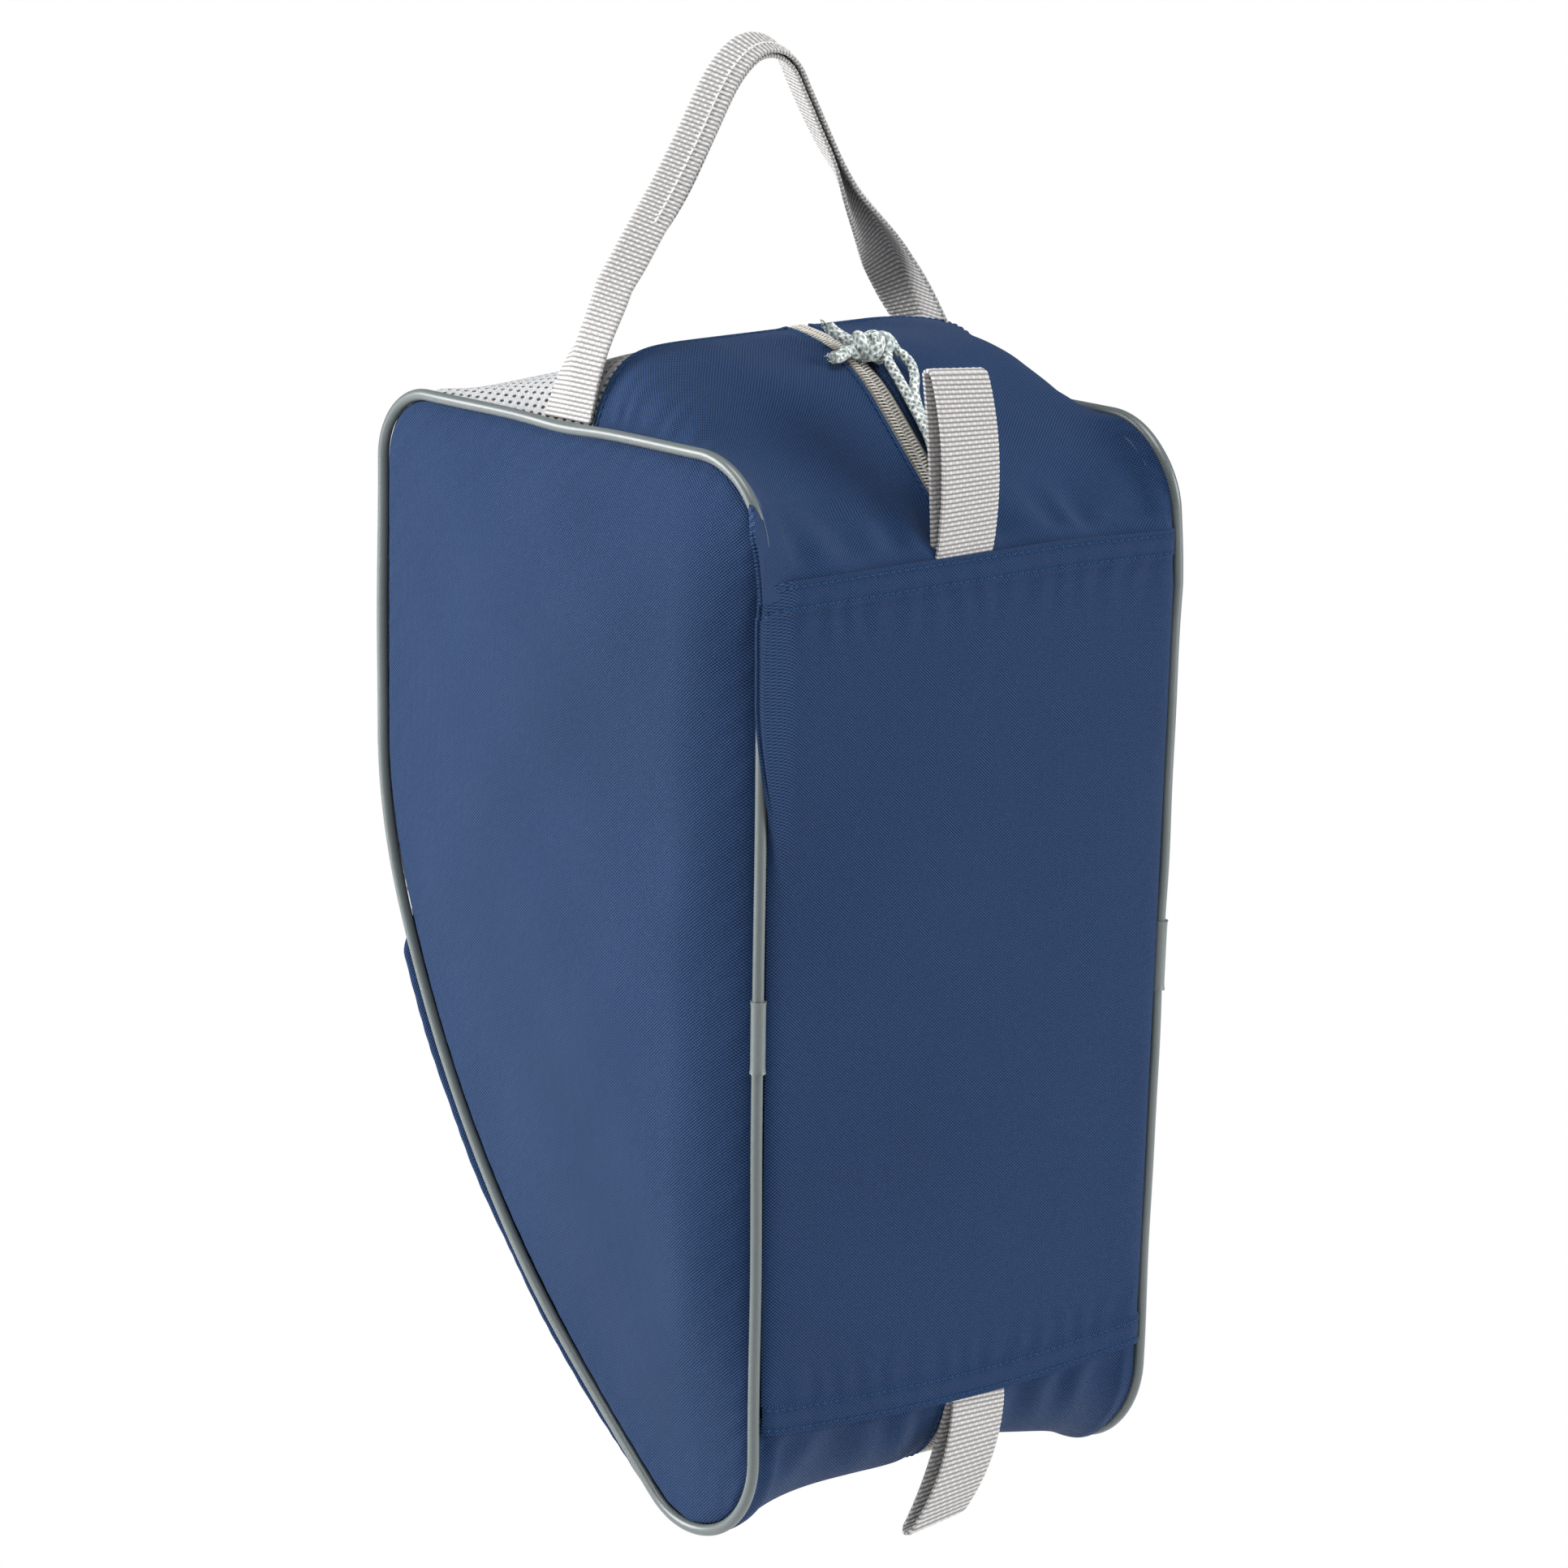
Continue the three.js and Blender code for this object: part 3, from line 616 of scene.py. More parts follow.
def make_camera():
    a, e, r = CAMERA_AZIMUTH, CAMERA_ELEVATION, CAMERA_ROLL
    ahead = Vector((-math.sin(a) * math.cos(e), math.cos(a) * math.cos(e), -math.sin(e)))
    level = Vector((math.cos(a), math.sin(a), 0))
    upright = level.cross(ahead)
    right = level * math.cos(r) + upright * math.sin(r)
    up = upright * math.cos(r) - level * math.sin(r)
    camera = bpy.data.objects.new("camera", bpy.data.cameras.new("camera"))
    camera.data.lens = CAMERA_LENS
    camera.data.clip_end = 20
    turned = Matrix((right, up, -ahead)).transposed().to_4x4()
    camera.matrix_world = Matrix.Translation(CAMERA_TARGET - ahead * CAMERA_DISTANCE) @ turned
    bpy.context.scene.collection.objects.link(camera)
    bpy.context.scene.camera = camera


# ---- the pull cord ----

RUN = unit(RUN_END - RUN_START)

# Each point is (x, distance up the zip from the slider's hole, height above the zip).
STRANDS = {
    "left": [(-3.4, 0, 4.1), (-3.3, 6, 4.2), (-2, 11, 4.5), (0.2, 16, 4.8), (2.8, 23, 4.8), (4.3, 29, 4.6),
             (5.2, 40, 4.5), (6.2, 51, 3.8), (7.4, 60, 2.6)],
    "right": [(3.4, 0, 4.1), (3.4, 6, 4), (3.7, 11, 3.5), (4.3, 16, 2.7), (5.8, 23, 2.3), (7.2, 29, 2.1),
              (8.6, 39, 2.4), (10.3, 45.5, 2.9), (13.3, 50.5, 3.2), (15.3, 55.5, 3), (15.2, 60, 2.4),
              (13.9, 63.5, 1.6)],
}


def on_run(points):
    """From (x, along, height) above the zip's straight run to the bag's frame."""
    x, far, height = np.asarray(points, float).T
    far = far + SLIDER_REST
    return np.column_stack([x, RUN_START[0] + far * RUN[0] - height * RUN[1],
                            RUN_START[1] + far * RUN[1] + height * RUN[0]])


def plaited(turn, far):
    return 0.14 * np.maximum(np.sin(4 * turn + PLAIT * far), np.sin(4 * turn - PLAIT * far)) - 0.1


def cord_tube(line, radius=CORD_RADIUS):
    return tube(line, radius, sides=32, relief=plaited, step=0.3)


def ring(centre, axis, major, start, turns=1.0, climb=0.0):
    """A wrap of cord round an axis, as a line."""
    axis = unit(np.array(axis, float))
    first = unit(np.cross(axis, (0.3, 0.2, 1.0)))
    second = np.cross(axis, first)
    turn = np.linspace(start, start + 2 * math.pi * turns, 60)
    share = np.linspace(-0.5, 0.5, 60)
    return (np.array(centre) + major * (np.cos(turn)[:, None] * first + np.sin(turn)[:, None] * second)
            + (climb * share)[:, None] * axis)


def frayed_end(tip, direction, count=26):
    """Loose filaments at a cut end of the cord."""
    parts = []
    for _ in range(count):
        start = tip + rng.normal(0, 0.7, 3)
        reach = unit(np.array(direction) + rng.normal(0, 0.35, 3)) * rng.uniform(0.9, 2.1)
        bend = rng.normal(0, 0.3, 3)
        parts.append(tube(np.array([start, start + reach / 2 + bend, start + reach]), 0.16, sides=5))
    return parts


def pull_cord():
    strands = []
    for word, points in STRANDS.items():
        route = smooth_line(on_run(points), 120)
        piece = tube_piece(f"cord_strand_{word}", [cord_tube(route)])
        finish_piece(piece, braid, "pull_cord", "pull", f"pull_strand_{word}")
        strands.append((piece, route))
    enter_main, enter_bow = (on_run(STRANDS[word][-1:])[0] for word in ("left", "right"))
    heart = on_run([(8.6, 65.5, 1.2)])[0]
    left = on_run([(0.5, 67.5, 0.6)])[0]
    axis = unit(left - heart)
    slanted = unit(axis + np.array([0, -0.25, 0.45]))
    tail_up = on_run([(-2, 71, 0.2), (-4.5, 74, 0), (-6, 77, 0)])
    tail_low = on_run([(-4, 66, 0.2), (-8.5, 64.5, 0), (-11.5, 64.5, 0.2)])
    lines = [
        smooth_line([enter_main - axis * 0.2, heart + (0, -1.8, 1), heart + axis * 3, left, *tail_up], 70),
        smooth_line([enter_bow, heart + (3.5, 0.8, 2.6), heart + (-1, 2.2, 2.2), left + (0, -1.4, -2.2),
                     *tail_low], 70),
        ring(heart + axis * 0.2, slanted, 3.6, 0.4, 1.2, 2.2),
        ring(heart + axis * 4.0, slanted, 3.9, 2.0, 1.2, 2.0),
        ring(heart + axis * 7.2, unit(axis + np.array([0, 0.35, -0.3])), 3.2, 1.0, 1.0, 1.6),
    ]
    parts = [cord_tube(line, KNOT_CORD_RADIUS) for line in lines]
    parts += frayed_end(tail_up[-1], tail_up[-1] - tail_up[0])
    parts += frayed_end(tail_low[-1], tail_low[-1] - tail_low[0])
    knot = finish_piece(tube_piece("cord_knot", parts), braid, "pull_cord", "pull", "pull_knot")
    for piece, route in strands:
        place(route[0])
        length_of(route) * MM
        place(route[::4]).tolist()


# ---- cloth ----


def gusset_grid(span, side, across, shares):
    """Points of the gusset's outer surface: rows along the span, columns from the piping to the zip."""
    outer = along(SIDE_LINE[span], shares)[:, None]
    middle = along(ZIP_LINE[span], shares)[:, None]
    power = np.interp(shares, (0, 1), SWELL[span])[:, None, None]
    swell = 1 - (np.asarray(across) / EDGE)[None, :, None] ** power
    flat = outer * (1 - swell) + middle * swell
    tangent = unit(np.gradient(outer[:, 0], axis=0))
    away = np.column_stack([-tangent[:, 1], tangent[:, 0]])[:, None]
    from_edge = EDGE - np.asarray(across)[None, :, None]
    puff = np.interp(shares, (0, 1), PUFF[span])[:, None, None]
    flat = flat + away * puff * smoothstep(from_edge, 0, 7) * np.exp(-((from_edge / 34) ** 2))
    return np.dstack([np.broadcast_to(side * np.asarray(across), flat.shape[:2]), flat])


GUSSET_COLUMNS = EDGE * (1 - np.linspace(0, 1, 90) ** 1.5 * (1 - ZIP_WINDOW / EDGE))


def lip(z):
    """How far the cloth at the base's edge rolls over the piping, from 0 to 1, by height."""
    return smoothstep(z, 34, 104) * (1 - smoothstep(z, 152, 172))


def rolled(grid, side, from_edge, amount):
    """The grid with its edge rolled out over the piping by an amount from 0 to 1."""
    roll = (amount * np.exp(-((from_edge - 3.5) / 2.6) ** 2))[..., None]
    return grid + roll * (np.array([side * 4.3, 0, 0]) + 3.1 * grid_normals(grid))


def cloth_gusset(span, word, side):
    steps = 170 if span == "heel" else 240
    shares = np.linspace(0, 1, steps)
    grid = gusset_grid(span, side, GUSSET_COLUMNS, shares)
    normals = grid_normals(grid)
    total = length_of(ZIP_LINE[span])
    across = GUSSET_COLUMNS[None, :]
    from_edge = EDGE - across
    far = shares[:, None] * total
    seam = far if span == "heel" else total - far
    other = total - seam
    calm = smoothstep(other, 0, 12) * smoothstep(across, ZIP_WINDOW, 14)
    free = calm * smoothstep(from_edge, 0, 10)
    lift = 0.9 * free * ripple(side * across, far, 55)
    gather = np.sin(across * 2 * math.pi / 19 + 1.1 * ripple(across, far, 60))
    gather = gather * np.exp(-((seam - 7) / 13) ** 2)
    lift = lift + 1.05 * gather * free * smoothstep(seam, 0, 7)
    pucker = np.sin(far * 2 * math.pi / 9 + 1.5 * ripple(across, far, 30)) * np.exp(-from_edge / 7)
    pucker = pucker * (1 - (side < 0) * lip(grid[..., 2]))
    lift = lift + (0.35 if span == "heel" else 0.12) * pucker * smoothstep(from_edge, 0, 3)
    hem = np.exp(-seam / 6) * smoothstep(from_edge, -2, 4)
    lift = lift + (3.1 if span == "heel" else 0.4) * hem
    placket = np.exp(-((across - ZIP_WINDOW) / 2.2) ** 2)
    lift = lift + 0.5 * placket
    grid = grid + normals * lift[..., None]
    tuck = np.exp(-seam / 1.4)
    grid[..., 2] -= math.copysign(TUCK, SEAM_Z if span == "heel" else -SEAM_Z) * tuck
    if span == "toe":
        grid = rolled(grid, side, from_edge, smoothstep(far, 0, 14) * smoothstep(seam, 22, 60))
    roll = lip(grid[..., 2]) * np.exp(-((from_edge - 3.5) / 2.6) ** 2)
    roll = roll * (grid[..., 1] < 30) * (span == "heel") * (side < 0)
    tangent = unit(np.gradient(along(SIDE_LINE[span], shares), axis=0))
    grid[..., 0] += side * LIP_OUT * (1 + 0.15 * np.exp(-seam / 12)) * roll
    grid[..., 1] -= GUSSET_LIP_FORWARD * roll * tangent[:, 1:]
    grid[..., 2] += GUSSET_LIP_FORWARD * roll * tangent[:, :1]
    normals = grid_normals(grid)
    piece = slab(f"{span}_cloth_{word}", grid, grid - normals * GUSSET_THICKNESS, arc_uv(grid))
    finish_piece(piece, cloth, "bag_cloth", "bag", f"{span}_gusset_{word}")
    declare_sheet(grid)
    rows = slice(6, -2)
    column = int(np.argmin(np.abs(GUSSET_COLUMNS - ZIP_WINDOW - 1.6)))
    stitch_row(f"{span}_zip_stitches_{word}", grid[rows, column], normals[rows, column], thread, "bag_cloth")
    row = int(np.argmin(np.abs(shares * total - (total - 2 if span == "heel" else 2))))
    stitch_row(f"{span}_mesh_stitches_{word}", grid[row], normals[row], thread, "bag_cloth")


def moved_in(line, inset):
    """The line, moved towards the inside of the outline by a distance."""
    tangents = unit(np.gradient(line, axis=0))
    return line + inset * np.column_stack([tangents[:, 1], -tangents[:, 0]])


def side_borders(inset):
    """The two borders of the side panel as y by height: towards the base, and towards the back."""
    line = moved_in(joined(*(SIDE_LINE[span] for span in SPANS)), inset)
    lowest = int(np.argmin(line[:, 1]))
    top = np.flatnonzero(line[:, 1] > line[:, 1].max() - 1e-3)
    base = joined(line[lowest:], line[: top[0] + 1])
    back = line[top[-1]: lowest + 1][::-1]
    return base, back


def side_panel(word, side):
    base, back = side_borders(PIPING_RADIUS + 0.1)
    turn = (1 - np.cos(np.linspace(0, math.pi, PANEL_ROWS))) / 2
    z = base[0, 1] + 0.05 + (base[-1, 1] - base[0, 1] - 0.1) * turn
    low = np.interp(z, base[:, 1], base[:, 0])[:, None]
    high = np.interp(z, back[:, 1], back[:, 0])[:, None]
    share = (1 - np.cos(np.linspace(0, math.pi, PANEL_COLUMNS)))[None, :] / 2
    y = low + (high - low) * share
    z = np.broadcast_to(z[:, None], y.shape)
    from_base, from_back, from_top = y - low, high - y, HEEL_Z - z
    crown = PANEL_CROWN * (1 - (1 - np.clip(from_base / 29, 0, 1)) ** 2)
    crown = crown * (1 - (1 - np.clip(from_back / 130, 0, 1)) ** 1.8)
    crown = crown * (1 - (1 - np.clip(from_top / 70, 0, 1)) ** 2)
    crown = crown * smoothstep(z, -178, -60) ** 0.5
    near = np.minimum(np.minimum(from_base, from_back), from_top)
    seam_roll = 1.6 * (1 - np.exp(-near / 1.6))
    uneven = 0.45 * ripple(y, z, 70) * smoothstep(near, 0, 25)
    pucker = 0.22 * np.sin((y + z) * 2 * math.pi / 13 + 1.4 * ripple(y, z, 35)) * np.exp(-near / 9)
    pucker = pucker * smoothstep(near, 0, 3)
    x = side * (HALF_WIDTH - 1.2 + seam_roll + crown + uneven + pucker)
    top = np.dstack([x, y, z])
    bottom = np.dstack([x - side * PANEL_THICKNESS, y, z])
    piece = slab(f"padded_side_{word}", top, bottom, np.dstack([y, z]))
    finish_piece(piece, cloth, "bag_cloth", "bag", f"side_panel_{word}")


def base_panel():
    """The flat base, with a folded hem and two rows of stitching at each end."""
    x = EDGE * np.sin(np.linspace(-math.pi / 2, math.pi / 2, 190))[None, :]
    share = np.linspace(-1, 1, 330)[:, None]
    bow = 1 - (x / EDGE) ** 2
    top_z = SEAM_Z + 0.2 + 0 * x
    low_z = -SEAM_Z - 3.9 * bow
    z = np.where(share > 0, top_z * share, -low_z * share)
    from_end = np.minimum(top_z - z, z - low_z)
    from_side = EDGE - np.abs(x)
    y = 2.3 * np.exp(-from_side / 2.2) - 2.2 * bow * smoothstep(from_end, -10, 90) - 0.2
    y = y - 0.75 * (1 - smoothstep(from_end, 9.2, 10.2))
    y = y - 0.35 * ripple(x, z, 75) * smoothstep(from_side, 0, 20)
    for row in HEM_ROWS:
        dimples = 0.75 + 0.25 * np.sin(x * 2 * math.pi / STITCH_PITCH)
        y = y + 0.3 * np.exp(-((from_end - row) / 0.8) ** 2) * dimples
    y = y - 0.22 * np.sin(x * 2 * math.pi / 11 + ripple(x, z, 40)) * np.exp(-((from_end - 14) / 8) ** 2)
    roll = lip(z) * np.exp(-((from_side - 3.5) / 2.6) ** 2) * (x < 0)
    grid = np.dstack([x - LIP_OUT * roll, y - LIP_FORWARD * roll, z + 0 * x])
    normals = grid_normals(grid)
    piece = slab("base_cloth", grid, grid - normals * BASE_THICKNESS, np.dstack([x + 0 * z, z + 0 * x]))
    finish_piece(piece, cloth, "bag_cloth", "bag", "base_panel")
    for end, word in ((1, "heel"), (-1, "toe")):
        for number, row in enumerate(HEM_ROWS, 1):
            at = np.argmin(np.abs(from_end - row) + 1e3 * (np.sign(share) != end), axis=0)
            columns = np.arange(x.shape[1])
            stitch_row(f"{word}_hem_stitches_{number}", grid[at, columns][2:-2],
                       normals[at, columns][2:-2], thread, "bag_cloth")


# ---- mesh ----


def even_rows(grid, columns):
    """Each row of a grid again, with evenly spaced points."""
    shares = np.linspace(0, 1, columns)
    return np.stack([along(row, shares) for row in grid])


def vent_piece(name, grid):
    """A sheet with a row of oval holes in every other line of its grid, which has odd sides."""
    normals = grid_normals(grid)
    rows, columns = grid.shape[:2]
    count = rows * columns
    index = np.arange(count).reshape(rows, columns)
    round_cell = [(-1, -1), (-1, 0), (-1, 1), (0, 1), (1, 1), (1, 0), (1, -1), (0, -1)]
    centres = index[1::2, 1::2].ravel()
    outer = np.stack([index[1 + i: rows + i: 2, 1 + j: columns + j: 2][: rows // 2, : columns // 2].ravel()
                      for i, j in round_cell], -1)
    reach = np.array([0.36 if i and j else (0.5 if j == 0 else 0.56) for i, j in round_cell])
    flat = grid.reshape(-1, 3)
    middle = flat[centres][:, None]
    holes = middle + (flat[outer] - middle) * reach[None, :, None]
    hole_normals = np.repeat(normals.reshape(-1, 3)[centres][:, None], 8, axis=1)
    top = np.vstack([flat, holes.reshape(-1, 3)])
    down = np.vstack([normals.reshape(-1, 3), hole_normals.reshape(-1, 3)])
    half = len(top)
    points = np.vstack([top, top - down * VENT_THICKNESS])
    inner = count + np.arange(len(centres) * 8).reshape(-1, 8)
    outer_next, inner_next = np.roll(outer, -1, axis=1), np.roll(inner, -1, axis=1)
    plate = np.stack([outer, outer_next, inner_next, inner], -1).reshape(-1, 4)
    walls = np.stack([inner, inner_next, inner_next + half, inner + half], -1).reshape(-1, 4)
    edge = rim(rows, columns)
    after = np.roll(edge, -1)
    sides = np.stack([edge, edge + half, after + half, after], -1)
    faces = np.vstack([plate, plate[:, ::-1] + half, walls, sides])
    uv = arc_uv(grid).reshape(-1, 2)
    hole_uv = uv[centres][:, None] + (uv[outer] - uv[centres][:, None]) * reach[None, :, None]
    uv = np.vstack([uv, hole_uv.reshape(-1, 2)])
    return new_piece(name, points, faces.tolist(), np.vstack([uv, uv]))


def vent_grid(span, side, low, high):
    """The mesh's surface between two shares of a span, with a column every half pitch."""
    length = length_of(ZIP_LINE[span]) * (high - low)
    rows = 2 * round(length / MESH_PITCH_ALONG) + 1
    shares = np.linspace(low, high, rows)
    dense = gusset_grid(span, side, GUSSET_COLUMNS, shares)
    width = length_of(dense[0])
    grid = even_rows(dense, 2 * round(width / MESH_PITCH_ACROSS) + 1)
    normals = grid_normals(grid)
    side_share = np.linspace(0, 1, grid.shape[1])[None, :]
    calm = np.sin(side_share * math.pi) ** 0.5
    uneven = 0.6 * calm * ripple(side * side_share * 80, shares[:, None] * 150, 60)
    uneven = uneven * (np.sin(np.linspace(0, math.pi, rows)) ** 0.5)[:, None]
    grid = grid + normals * (uneven - 0.65)[..., None]
    if span == "flap":
        from_edge = EDGE - np.abs(grid[..., 0])
        return rolled(grid, side, from_edge, 0.7 * np.sin(math.pi * shares)[:, None] ** 0.5)
    return grid


# The flap's two halves, which meet at this share.
FLAP_MIDDLE = 0.5
FLAP_PARTS = {
    "upper": ((0.0, FLAP_MIDDLE), (FLAP_TOP_Z, 92)),
    "lower": ((FLAP_MIDDLE, 1.0), (2, 46)),
}


def blend_flap(piece, part):
    start, end = FLAP_PARTS[part][1]
    place((0, BAG_DEPTH, start))
    place((0, BAG_DEPTH, end))
    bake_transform(piece)


def vents(word, side):
    grid = vent_grid("shoulder", side, 0, 1)
    shoulder = vent_piece(f"vent_shoulder_{word}", grid)
    finish_piece(shoulder, knit, "vent_mesh", "bag", f"mesh_shoulder_{word}")
    declare_sheet(grid)
    for part, (shares, _) in FLAP_PARTS.items():
        grid = vent_grid("flap", side, *shares)
        piece = vent_piece(f"vent_flap_{part}_{word}", grid)
        finish_piece(piece, knit, "vent_mesh", None, f"mesh_flap_{word}")
        blend_flap(piece, part)
        declare_sheet(grid)


# ---- zip ----


def zip_strip(span, side, across, low, high, depth, step=1.5):
    length = length_of(ZIP_LINE[span]) * (high - low)
    shares = np.linspace(low, high, max(8, round(length / step)))
    grid = gusset_grid(span, side, np.asarray(across, float), shares)
    return grid - grid_normals(grid) * depth


def zip_tape(span, side, low, high, name):
    across = np.linspace(12.5, 0.9, 14)
    top = zip_strip(span, side, across, low, high, 1.1)
    bottom = zip_strip(span, side, across, low, high, 1.7)
    return slab(name, top, bottom, arc_uv(top))


def zip_coil(span, side, low, high, name):
    """One side's coil: a flattened spiral of nylon wire that meets the other in the middle."""
    line = along(ZIP_LINE[span], np.linspace(low, high, 400))
    length = length_of(line)
    turns = round(length / COIL_PITCH)
    turn = np.linspace(0, 2 * math.pi * turns, turns * 12)
    at = along(line, np.linspace(0, 1, len(turn)))
    tangent = unit(np.gradient(at, axis=0))
    outward = np.column_stack([-tangent[:, 1], tangent[:, 0]])
    phase = 0 if side > 0 else math.pi
    x = 1.55 - 1.45 * np.cos(turn + phase)
    height = -0.35 + 0.62 * np.sin(turn + phase)
    flat = at + outward * height[:, None]
    return tube_piece(name, [tube(np.column_stack([side * x, flat]), COIL_WIRE, sides=6)])


def zip_half(word, side):
    for span in SPANS:
        parts = FLAP_PARTS if span == "flap" else {None: ((0.0, 1.0), None)}
        for part, ((low, high), _) in parts.items():
            tail = f"{span}_{part}_{word}" if part else f"{span}_{word}"
            tape = zip_tape(span, side, low, high, f"tape_{tail}")
            coil = zip_coil(span, side, low, high, f"coil_{tail}")
            body = None if part else "bag"
            finish_piece(tape, tape_cloth, "zip_tape", body, f"zip_tape_{span}_{word}")
            finish_piece(coil, nylon, "zip_nylon", body, f"zip_coil_{span}_{word}")
            if part:
                blend_flap(tape, part)
                blend_flap(coil, part)


# ---- piping and binding ----


def outline_loop(inset=0.0):
    line = joined((PIPING_Y, SLEEVE_Z), *(SIDE_LINE[span] for span in SPANS), (PIPING_Y, SLEEVE_Z))
    return moved_in(along(line, np.linspace(0, 1, 520)), inset)


def piping(word, side):
    line = outline_loop()[2:-2]
    sag = 1.0 * np.exp(-((line[:, 0] - 101) / 16) ** 2) * (line[:, 1] > 150)
    x = side * (HALF_WIDTH + 0.25 * ripple(line[:, 0], line[:, 1], 60))
    points = np.column_stack([x, line[:, 0], line[:, 1] - sag])
    piece = tube_piece(f"vinyl_piping_{word}", [tube(points, PIPING_RADIUS, sides=20)])
    finish_piece(piece, vinyl, "piping_vinyl", "bag", f"piping_{word}")


def piping_sleeve(word, side):
    """A short shrunk-on tube with slightly flared rims."""
    half = SLEEVE_LENGTH / 2
    z = np.linspace(-half, half, 40)
    line = np.column_stack([np.full(40, side * HALF_WIDTH), np.full(40, PIPING_Y), SLEEVE_Z + z])
    flare = 0.28 * np.exp(-(half - np.abs(z)) / 0.8)

    def relief(turn, far):
        return np.full(len(turn), np.interp(far, z + half, flare) - 0.15)

    piece = tube_piece(f"vinyl_sleeve_{word}", [tube(line, SLEEVE_RADIUS, sides=24, relief=relief)], 40)
    finish_piece(piece, sleeve_vinyl, "piping_vinyl", "bag", f"piping_sleeve_{word}")


def seam_binding(word, side):
    """Tape sewn over the raw seam allowance, just inside the piping."""
    outer, inner = outline_loop(3.0), outline_loop(10.0)
    share = np.linspace(0, 1, 6)[None, :, None]
    flat = outer[:, None] * (1 - share) + inner[:, None] * share
    x = side * (HALF_WIDTH - 4.6 - 0.8 * np.sin(share[..., 0] * math.pi)) + 0 * flat[..., 0]
    top = np.dstack([x, flat])
    bottom = np.dstack([x - side * 1.4, flat])
    piece = slab(f"binding_{word}", top, bottom, arc_uv(top))
    finish_piece(piece, binding, "binding_tape", "bag", f"seam_binding_{word}")


# ---- webbing ----


def webbing_piece(name, middle, normals, widths, distance):
    """Ribbed webbing over a grid of middle points: widths are across and distance along, in millimetres."""
    u, v = np.broadcast_arrays(widths[None, :], distance[:, None])
    rib = 0.5 - 0.5 * np.cos(v * 2 * math.pi / RIB)
    row = np.floor(v / RIB)
    turn = u * 2 * math.pi / DOT + math.pi * row
    dots = 0.6 * (0.5 + 0.5 * np.sin(turn)) + 0.4 * (0.5 - 0.5 * np.cos(2 * turn))
    relief = 0.34 * rib**0.7 * (0.4 + 0.6 * dots)
    edge = smoothstep(np.abs(u), widths.max() - 1.1, widths.max())
    half = (WEBBING_THICKNESS / 2 - 0.15 + relief) * (1 - 0.35 * edge)
    top = middle + normals * half[..., None]
    bottom = middle - normals * half[..., None]
    return finish_piece(slab(name, top, bottom, np.dstack([u, v]), 75), webbing, "webbing", None)


def webbing_columns(width=WEBBING_WIDTH):
    return np.linspace(-width / 2, width / 2, 73)


# The handle's middle line as (x, z), from seam to seam.
HANDLE_ROUTE = [
    (-86.2, 177.2), (-79.5, 196), (-68.5, 214), (-58.2, 231), (-47.6, 247), (-36, 266), (-26, 282),
    (-18, 290), (-11, 292.8), (-3.5, 291.5), (3, 286.5), (8.5, 277), (16, 264), (24, 251), (31, 239.5),
    (40, 227), (51, 213), (61, 200), (71, 188), (80, 180), (86.2, 177.2),
]
# How far the strap turns to face forwards, in radians, by share of its length.
HANDLE_TWIST = ((0, 0), (0.09, 0.2), (0.15, 0.4), (0.22, 0.54), (0.45, 0.46), (0.54, 0.28), (0.63, 0.32),
                (0.71, 0.5), (0.8, 0.3), (0.9, 0.1), (1, 0))
FOLD_IN = (-0.06, 0.36)
FOLD_OUT = (0.64, 0.97)
FOLD_BEND = 3.4                             # width of webbing that the fold's bend takes up


def handle():
    """One length of webbing, folded in half towards its front edge along the grip and stitched there."""
    line = smooth_line(HANDLE_ROUTE, 2000)
    total = length_of(line)
    rows = round(total / (RIB / 4))
    shares = np.linspace(0, 1, rows)
    flat = along(line, shares)
    centre = np.column_stack([flat[:, 0], HANDLE_Y + 3.5 * (1 - smoothstep(shares, 0, 0.2)), flat[:, 1]])
    tangent = unit(np.gradient(centre, axis=0))
    front = np.tile((0.0, -1.0, 0.0), (rows, 1))
    twist = -np.interp(shares, *smooth_line(HANDLE_TWIST, 400).T)
    outward = unit(np.cross(tangent, front))
    outward *= np.sign(outward[rows // 2, 2])
    front, outward = (front * np.cos(twist)[:, None] + outward * np.sin(twist)[:, None],
                      outward * np.cos(twist)[:, None] - front * np.sin(twist)[:, None])
    folded = smoothstep(shares, *FOLD_IN) - smoothstep(shares, *FOLD_OUT)
    widths = webbing_columns()
    angle = math.pi * folded[:, None] * np.clip(0.5 - widths[None, :] / FOLD_BEND, 0, 1)
    step = widths[1] - widths[0]
    ahead = np.cumsum(np.cos(angle), axis=1) * step
    out = np.cumsum(np.sin(angle), axis=1) * step
    ahead -= (ahead.max(axis=1, keepdims=True) + ahead.min(axis=1, keepdims=True)) / 2
    out -= (out.max(axis=1, keepdims=True) + out.min(axis=1, keepdims=True)) / 2
    middle = centre[:, None] + front[:, None] * ahead[..., None] + outward[:, None] * out[..., None]
    normals = (outward[:, None] * np.cos(angle)[..., None] - front[:, None] * np.sin(angle)[..., None])
    piece = webbing_piece("folded_handle", middle, normals, widths, shares * total)
    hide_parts("handle_strap")
    place((0, HANDLE_Y, 179))
    place((0, HANDLE_Y, 207))
    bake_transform(piece)
    grip = (shares > 0.23) & (shares < 0.64)
    column = int(np.argmin(np.abs(widths - 8.6)))
    surface = middle[grip, column] + normals[grip, column] * (WEBBING_THICKNESS / 2 + 0.12)
    stitch_row("grip_stitches", surface, normals[grip, column], pale_thread, "webbing", "handle")


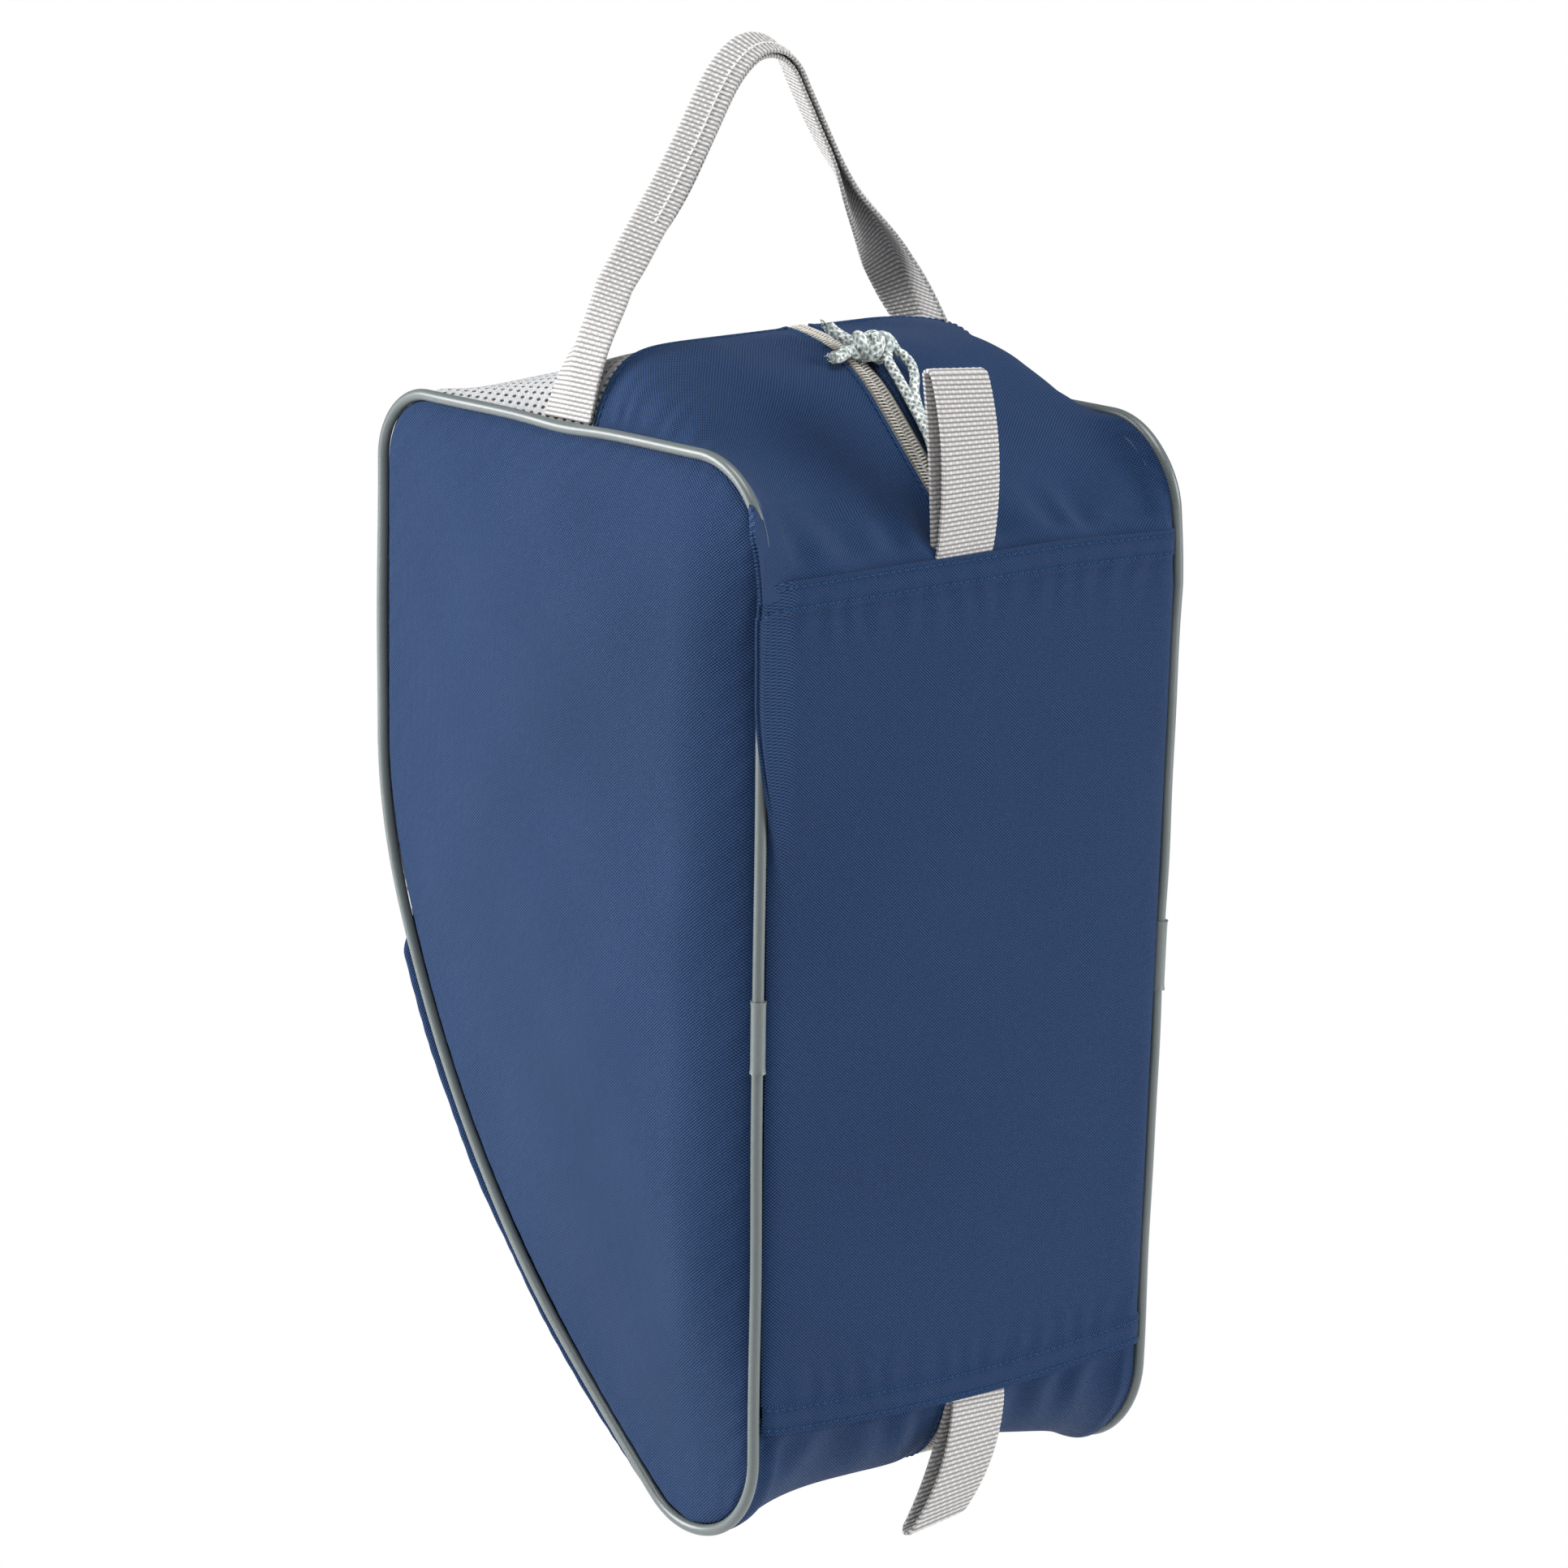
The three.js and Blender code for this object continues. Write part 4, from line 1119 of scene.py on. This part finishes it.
def loop_of_webbing(name, line, side_on, sway):
    """A strip of webbing along a (y, z) line. sway gives the middle's x, and side_on its lean, by share."""
    total = length_of(line)
    rows = round(total / (RIB / 4))
    shares = np.linspace(0, 1, rows)
    flat = along(line, shares)
    centre = np.column_stack([sway(flat[:, 1]), flat])
    tangent = unit(np.gradient(centre, axis=0))
    lean = side_on(flat[:, 1])
    across = np.column_stack([np.cos(lean), 0 * lean, np.sin(lean)])
    normal = unit(np.cross(tangent, across))
    widths = webbing_columns(LOOP_WIDTH)
    middle = centre[:, None] + across[:, None] * widths[None, :, None]
    return webbing_piece(name, middle, np.broadcast_to(normal[:, None], middle.shape), widths, shares * total)


LOOP_HEIGHT = 60


def heel_loop():
    """Stands up from the base's hem: up the front, round, and down behind."""
    low, high = SEAM_Z - 1.5, SEAM_Z + LOOP_HEIGHT
    front = joined((1.2, low), bezier((0.4, low + 6), (-1.2, low + 28), (-0.4, high - 12), (0.9, high - 2.6)))
    bend = arc((3.0, high - 2.4), 2.1, math.pi * 0.97, 0.05)
    rear = joined(bezier((5.1, high - 3), (6.6, high - 22), (6.2, low + 26), (3.4, low + 4)), (2.9, low))
    line = joined(front, bend, rear)

    def sway(z):
        t = np.clip((z - low) / (high - low), 0, 1)
        return -6.0 + 3.2 * np.sin(t * math.pi * 0.75) - 5.5 * t**1.6

    def lean(z):
        return 0.02 - 0.1 * smoothstep(z, low + 10, high)

    piece = loop_of_webbing("heel_pull_loop", line, lean, sway)
    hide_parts("heel_loop")
    place((0, 0, SEAM_Z - 1))
    place((0, 0, SEAM_Z + 9))
    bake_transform(piece)


def toe_loop():
    """Hangs from the base's lower hem and curls to the left."""
    high, low = -SEAM_Z - 2.5, -SEAM_Z - 44.5
    front = joined((1.0, high), bezier((0.2, high - 5), (-1.4, high - 20), (-2.5, low + 14),
                                       (-1.0, low + 2.4)))
    bend = arc((1.2, low + 2.2), 2.2, -math.pi * 0.97, -0.05)
    rear = joined(bezier((3.4, low + 3), (4.6, low + 20), (5.2, high - 18), (3.6, high - 6)), (3.0, high))
    line = joined(front, bend, rear)

    def depth(z):
        return np.clip((high - z) / (high - low), 0, 1)

    def sway(z):
        t = depth(z)
        return 8.0 - 4 * t - 16 * t**2

    def lean(z):
        return -0.05 + 0.18 * depth(z)

    piece = loop_of_webbing("toe_pull_loop", line, lean, sway)
    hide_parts("toe_loop")
    place((0, 0, high + 1))
    place((0, 0, high - 9))
    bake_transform(piece)


# ---- stage ----


def area_light(name, position, target, size, power):
    light = bpy.data.objects.new(name, bpy.data.lights.new(name, "AREA"))
    light.data.shape = "DISK"
    light.data.size = size
    light.data.energy = power
    light.location = position
    light.rotation_mode = "QUATERNION"
    light.rotation_quaternion = (Vector(target) - Vector(position)).to_track_quat("-Z", "Y")
    bpy.context.scene.collection.objects.link(light)


WORLD_LIGHT = 0.19


def stage():
    low = cad_bounds[0].z - 0.07
    bpy.ops.mesh.primitive_plane_add(size=40, location=(0, 0, low))
    floor = bpy.context.object
    floor.name = "floor"
    paint = Paint("pale_floor", Roughness=0.9)
    paint.colour(paint.ramp(paint.noise(3, 2.0), (0.3, (0.85, 0.85, 0.85)), (0.7, (0.9, 0.9, 0.9))))
    glow = paint.node("Emission")
    mix = paint.node("MixShader")
    paint.link(paint.node("LightPath").outputs["Is Camera Ray"], mix.inputs[0])
    paint.link(paint.shader.outputs[0], mix.inputs[1])
    paint.link(glow.outputs[0], mix.inputs[2])
    paint.link(mix.outputs[0], paint.tree.nodes["Material Output"].inputs["Surface"])
    floor.data.materials.append(paint.material)
    world = bpy.data.worlds.new("studio")
    world.use_nodes = True
    nodes, links = world.node_tree.nodes, world.node_tree.links
    nodes["Background"].inputs["Color"].default_value = (1, 1, 1, 1)
    strength = nodes.new("ShaderNodeMapRange")
    strength.inputs["To Min"].default_value = WORLD_LIGHT
    links.new(nodes.new("ShaderNodeLightPath").outputs["Is Camera Ray"], strength.inputs["Value"])
    links.new(strength.outputs[0], nodes["Background"].inputs["Strength"])
    bpy.context.scene.world = world
    bpy.context.scene.view_settings.view_transform = "Standard"
    middle = (0, 0, -0.25)
    area_light("key", (-1.8, 1.5, 0.5), middle, 1.5, 96)
    area_light("fill", (1.45, -1.8, 0.3), middle, 1.5, 46)
    area_light("top", (-0.3, -0.4, 2.1), middle, 1.5, 48)


make_camera()
pull_cord()
base_panel()
for word, side in SIDES:
    side_panel(word, side)
    cloth_gusset("heel", word, side)
    cloth_gusset("toe", word, side)
    vents(word, side)
    zip_half(word, side)
    piping(word, side)
    piping_sleeve(word, side)
    seam_binding(word, side)
handle()
heel_loop()
toe_loop()
for name in ("zip_slider", "slider_bail"):
    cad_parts[name].data.materials.clear()
    finish_piece(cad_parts[name], metal, "slider_metal", None)
stage()
